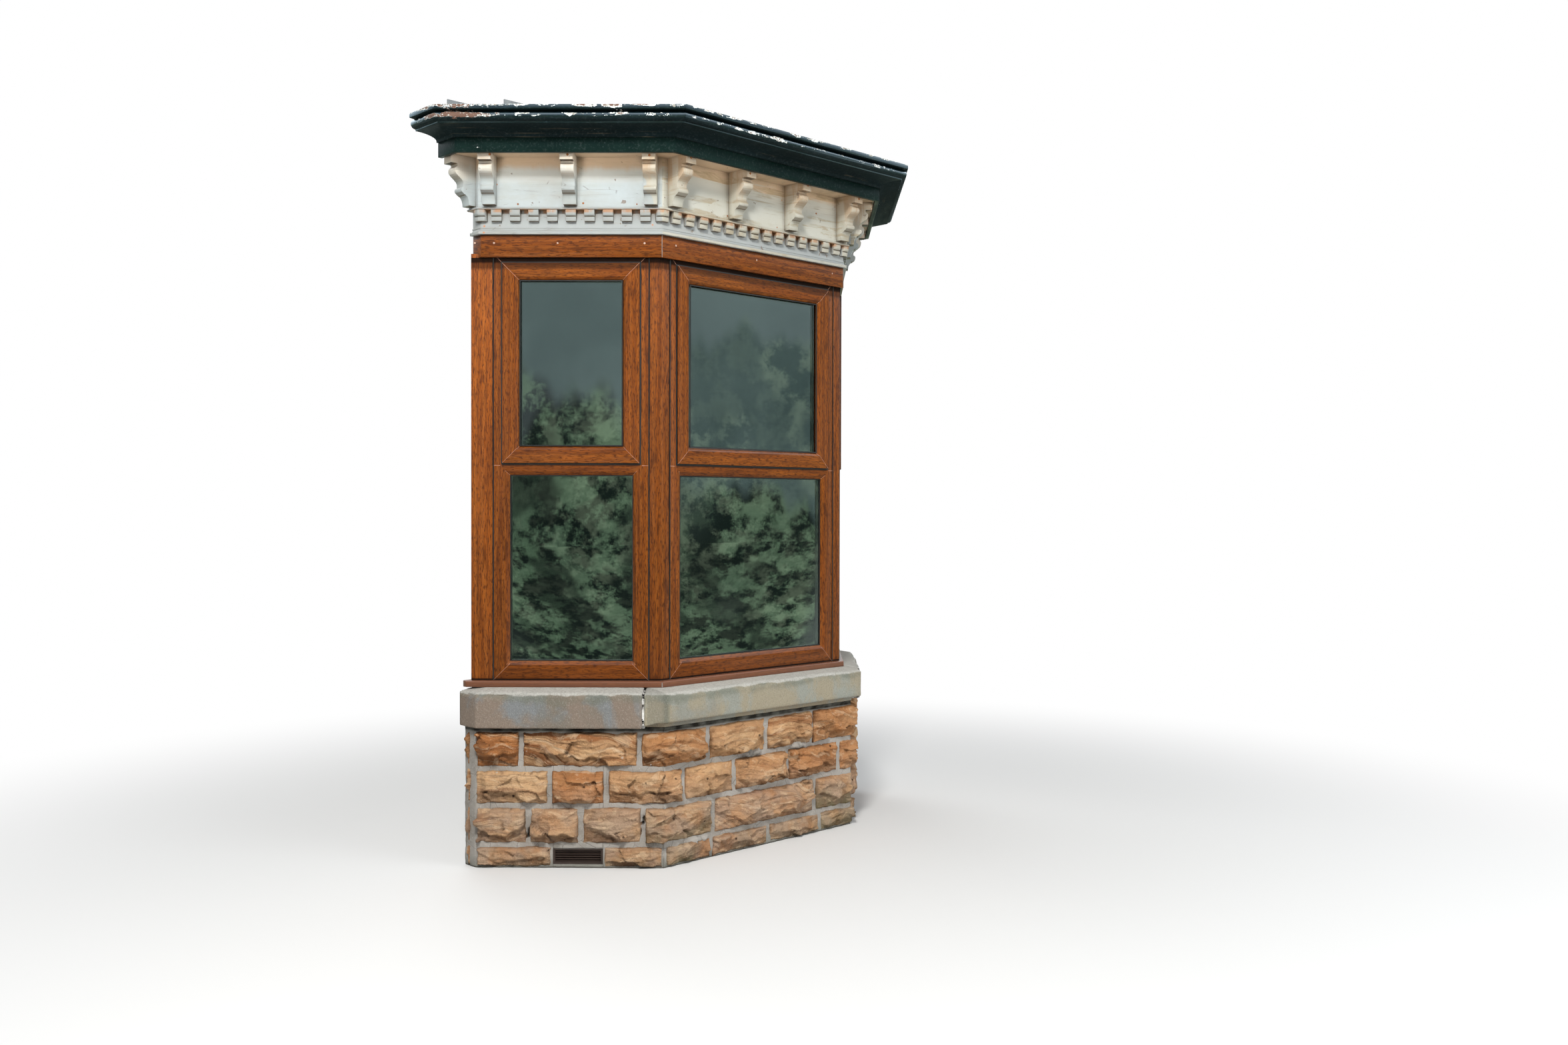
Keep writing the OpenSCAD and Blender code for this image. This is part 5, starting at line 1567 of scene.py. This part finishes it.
floorBoards = {"Count": 8, "Pitch": 0.120, "Gap": 0.002, "Finish": oiled}
plate = mergedCopy("floor_boards")
spanX = max(v.co.x for v in plate.vertices)
lowY = min(v.co.y for v in plate.vertices)
midZ = sum(v.co.z for v in plate.vertices) / len(plate.vertices)
floorBoards.update({"Length": 2 * spanX + 0.2, "Start": (0.0, lowY + 0.05, midZ)})
boards = worked(plate, "NODES", floorBoards, node_group=boardTree)
addPiece("floor_boards_laid", boards, oiled, ["floor_boards"])
print("small pieces made")

# Camera, light and floor

view = {"place": (-4.2954, -4.6823, 1.5466), "yaw": 44.593, "pitch": -0.618, "roll": 0.117,
        "lens": 2034 / 2352 * 36}


def makeCamera():
    yaw, pitch, roll = (math.radians(view[k]) for k in ("yaw", "pitch", "roll"))
    ahead = Vector((math.sin(yaw) * math.cos(pitch), math.cos(yaw) * math.cos(pitch), math.sin(pitch)))
    right = Vector((math.cos(yaw), -math.sin(yaw), 0.0))
    up = right.cross(ahead)
    rolledRight = right * math.cos(roll) + up * math.sin(roll)
    rolledUp = up * math.cos(roll) - right * math.sin(roll)
    data = bpy.data.cameras.new("camera")
    data.lens, data.sensor_width, data.sensor_fit = view["lens"], 36.0, "HORIZONTAL"
    data.clip_start, data.clip_end = 0.05, 200.0
    cam = bpy.data.objects.new("camera", data)
    scene.collection.objects.link(cam)
    turn = Matrix((rolledRight, rolledUp, -ahead)).transposed().to_4x4()
    cam.matrix_world = Matrix.Translation(Vector(view["place"])) @ turn
    scene.camera = cam


def makeLight(name, at, aim, size, power, tint=(1, 1, 1), spread=180):
    data = bpy.data.lights.new(name, "AREA")
    data.spread = math.radians(spread)
    data.shape, data.size, data.energy, data.color = "DISK", size, power, tint
    lamp = bpy.data.objects.new(name, data)
    scene.collection.objects.link(lamp)
    lamp.location = at
    lamp.visible_glossy = lamp.visible_transmission = lamp.visible_camera = False
    lamp.rotation_euler = (Vector(aim) - Vector(at)).to_track_quat("-Z", "Y").to_euler()


around = {
    "low": (0.66, 0.78, 0.82),         # sky over the skyline, and overhead
    "high": (3.0, 3.05, 3.1),
    "shade": (0.05, 0.075, 0.065),
    "leaf": (0.86, 1.08, 0.74),
    "twig": (0.07, 0.09, 0.08),
    "gap": (1.05, 1.2, 1.2),
    "ridge": 0.055,                    # mean height of the skyline
    "diffuse": (0.93, 0.96, 1.0),
    "strength": 0.33,
    "floor": (0.52, 0.51, 0.49),
    "floorSeen": (0.78, 0.78, 0.77),
    "white": (1, 1, 1),
}


# What glossy and seen-through surfaces pick up: bright sky over a dark, leafy, broken skyline
def makeSurroundings():
    given, result = newTree("ShaderNodeTree", "surroundings", {"Vector": "Vector"}, {"Color": "Color"})
    way = given["Vector"]
    up = axes(way)[2]
    sky = wash(around["low"], around["high"], up, 0.1, 0.85)
    ridge = cloud(stretch(way, (3.4, 3.4, 0.0)), 1.0, 5.0, 0.62)
    above = up - ((ridge - 0.5) * 0.5 + around["ridge"])
    twigs = cloud(stretch(way, (13, 13, 9), shift=(1, 7, 3)), 1.0, 4.0, 0.6)
    clumps = cloud(stretch(way, (5.2, 5.2, 2.6), shift=(2, 5, 1)), 1.0, 1.0, 0.4)
    mass = wash(around["shade"], around["leaf"], cloud(way, 46.0, 5.0, 0.72), 0.43, 0.58)
    mass = wash(mass, around["twig"], twigs, 0.52, 0.44, 0.75)
    mass = wash(mass, around["gap"], clumps, 0.5, 0.62, 0.75)
    result.feed({"Color": wash(mass, sky, above, -0.006, 0.014)})
    return bench["tree"]


surroundings = makeSurroundings()


def rays():  # 1 for what the camera sees directly, and 1 for reflections and what shows through glass
    path = Node("ShaderNodeLightPath")
    return path["Is Camera Ray"], calc("MAXIMUM", path["Is Glossy Ray"], path["Is Transmission Ray"])


def makeWorld():
    world = bpy.data.worlds.new("studio")
    scene.world = world
    world.use_nodes = True
    bench["tree"] = world.node_tree
    world.node_tree.nodes.clear()
    seen, mirrored = rays()
    sky = place(surroundings, Vector=Node("ShaderNodeTexCoord")["Generated"])["Color"]
    strength = mirrored * (1 - around["strength"]) + around["strength"]
    tone = blend(mirrored, around["diffuse"], sky)
    soft = Node("ShaderNodeBackground", {"Color": tone, "Strength": strength})
    white = Node("ShaderNodeBackground", {"Color": around["white"], "Strength": 1.0})
    mix = Node("ShaderNodeMixShader", {0: seen, 1: soft[0], 2: white[0]})
    Node("ShaderNodeOutputWorld", {0: mix[0]})


ground = {"size": 40.0, "z": -0.0005, "fade": (1.9, 5.0), "mirrorFade": (1.6, 3.0), "eye": (-0.4, 0.0, 1.7)}


def makeFloor():
    size, z = ground["size"], ground["z"]
    shape = Shape()
    shape.verts = [(-size, -size, z), (size, -size, z), (size, size, z), (-size, size, z)]
    shape.faces = [(0, 1, 2, 3)]
    mesh = shape.mesh("floor")
    floor = bpy.data.objects.new("floor", mesh)
    scene.collection.objects.link(floor)
    mat, shader, at = newMaterial("pale floor", 0.9, 0.2)
    seen, mirrored = rays()
    away = vecCalc("LENGTH", at)
    shader.feed({"Base Color": blend(seen, around["floor"], around["floorSeen"])})
    glow = Node("ShaderNodeEmission", {"Color": around["white"], "Strength": 1.0})
    mix = Node("ShaderNodeMixShader", {0: seen * remap(away, *ground["fade"]), 1: shader[0], 2: glow[0]})
    way = vecCalc("NORMALIZE", vecCalc("SUBTRACT", at, ground["eye"]))
    picked = Node("ShaderNodeEmission", {"Color": place(surroundings, Vector=way)["Color"], "Strength": 1.0})
    past = mirrored * remap(away, *ground["mirrorFade"])
    mix = Node("ShaderNodeMixShader", {0: past, 1: mix[0], 2: picked[0]})
    mat.node_tree.links.new(mix[0].socket, mat.node_tree.get_output_node("ALL").inputs[0])
    mesh.materials.append(mat)


makeCamera()
makeWorld()
makeFloor()
makeLight("key", (-4.4, -3.8, 5.6), (-0.3, 0.0, 1.4), 1.3, 470, (1.0, 0.985, 0.96))
makeLight("side", (-5.6, -2.6, 1.2), (-0.7, 0.0, 3.05), 1.2, 6, (1.0, 0.99, 0.97), 40)
makeLight("fill", (1.5, -6.0, 2.2), (0.1, 0.0, 1.5), 4.0, 180, (0.95, 0.98, 1.0))
makeLight("back", (1.0, 5.0, 6.0), (0.0, 0.4, 2.0), 4.0, 140)
scene.view_settings.view_transform = "Standard"
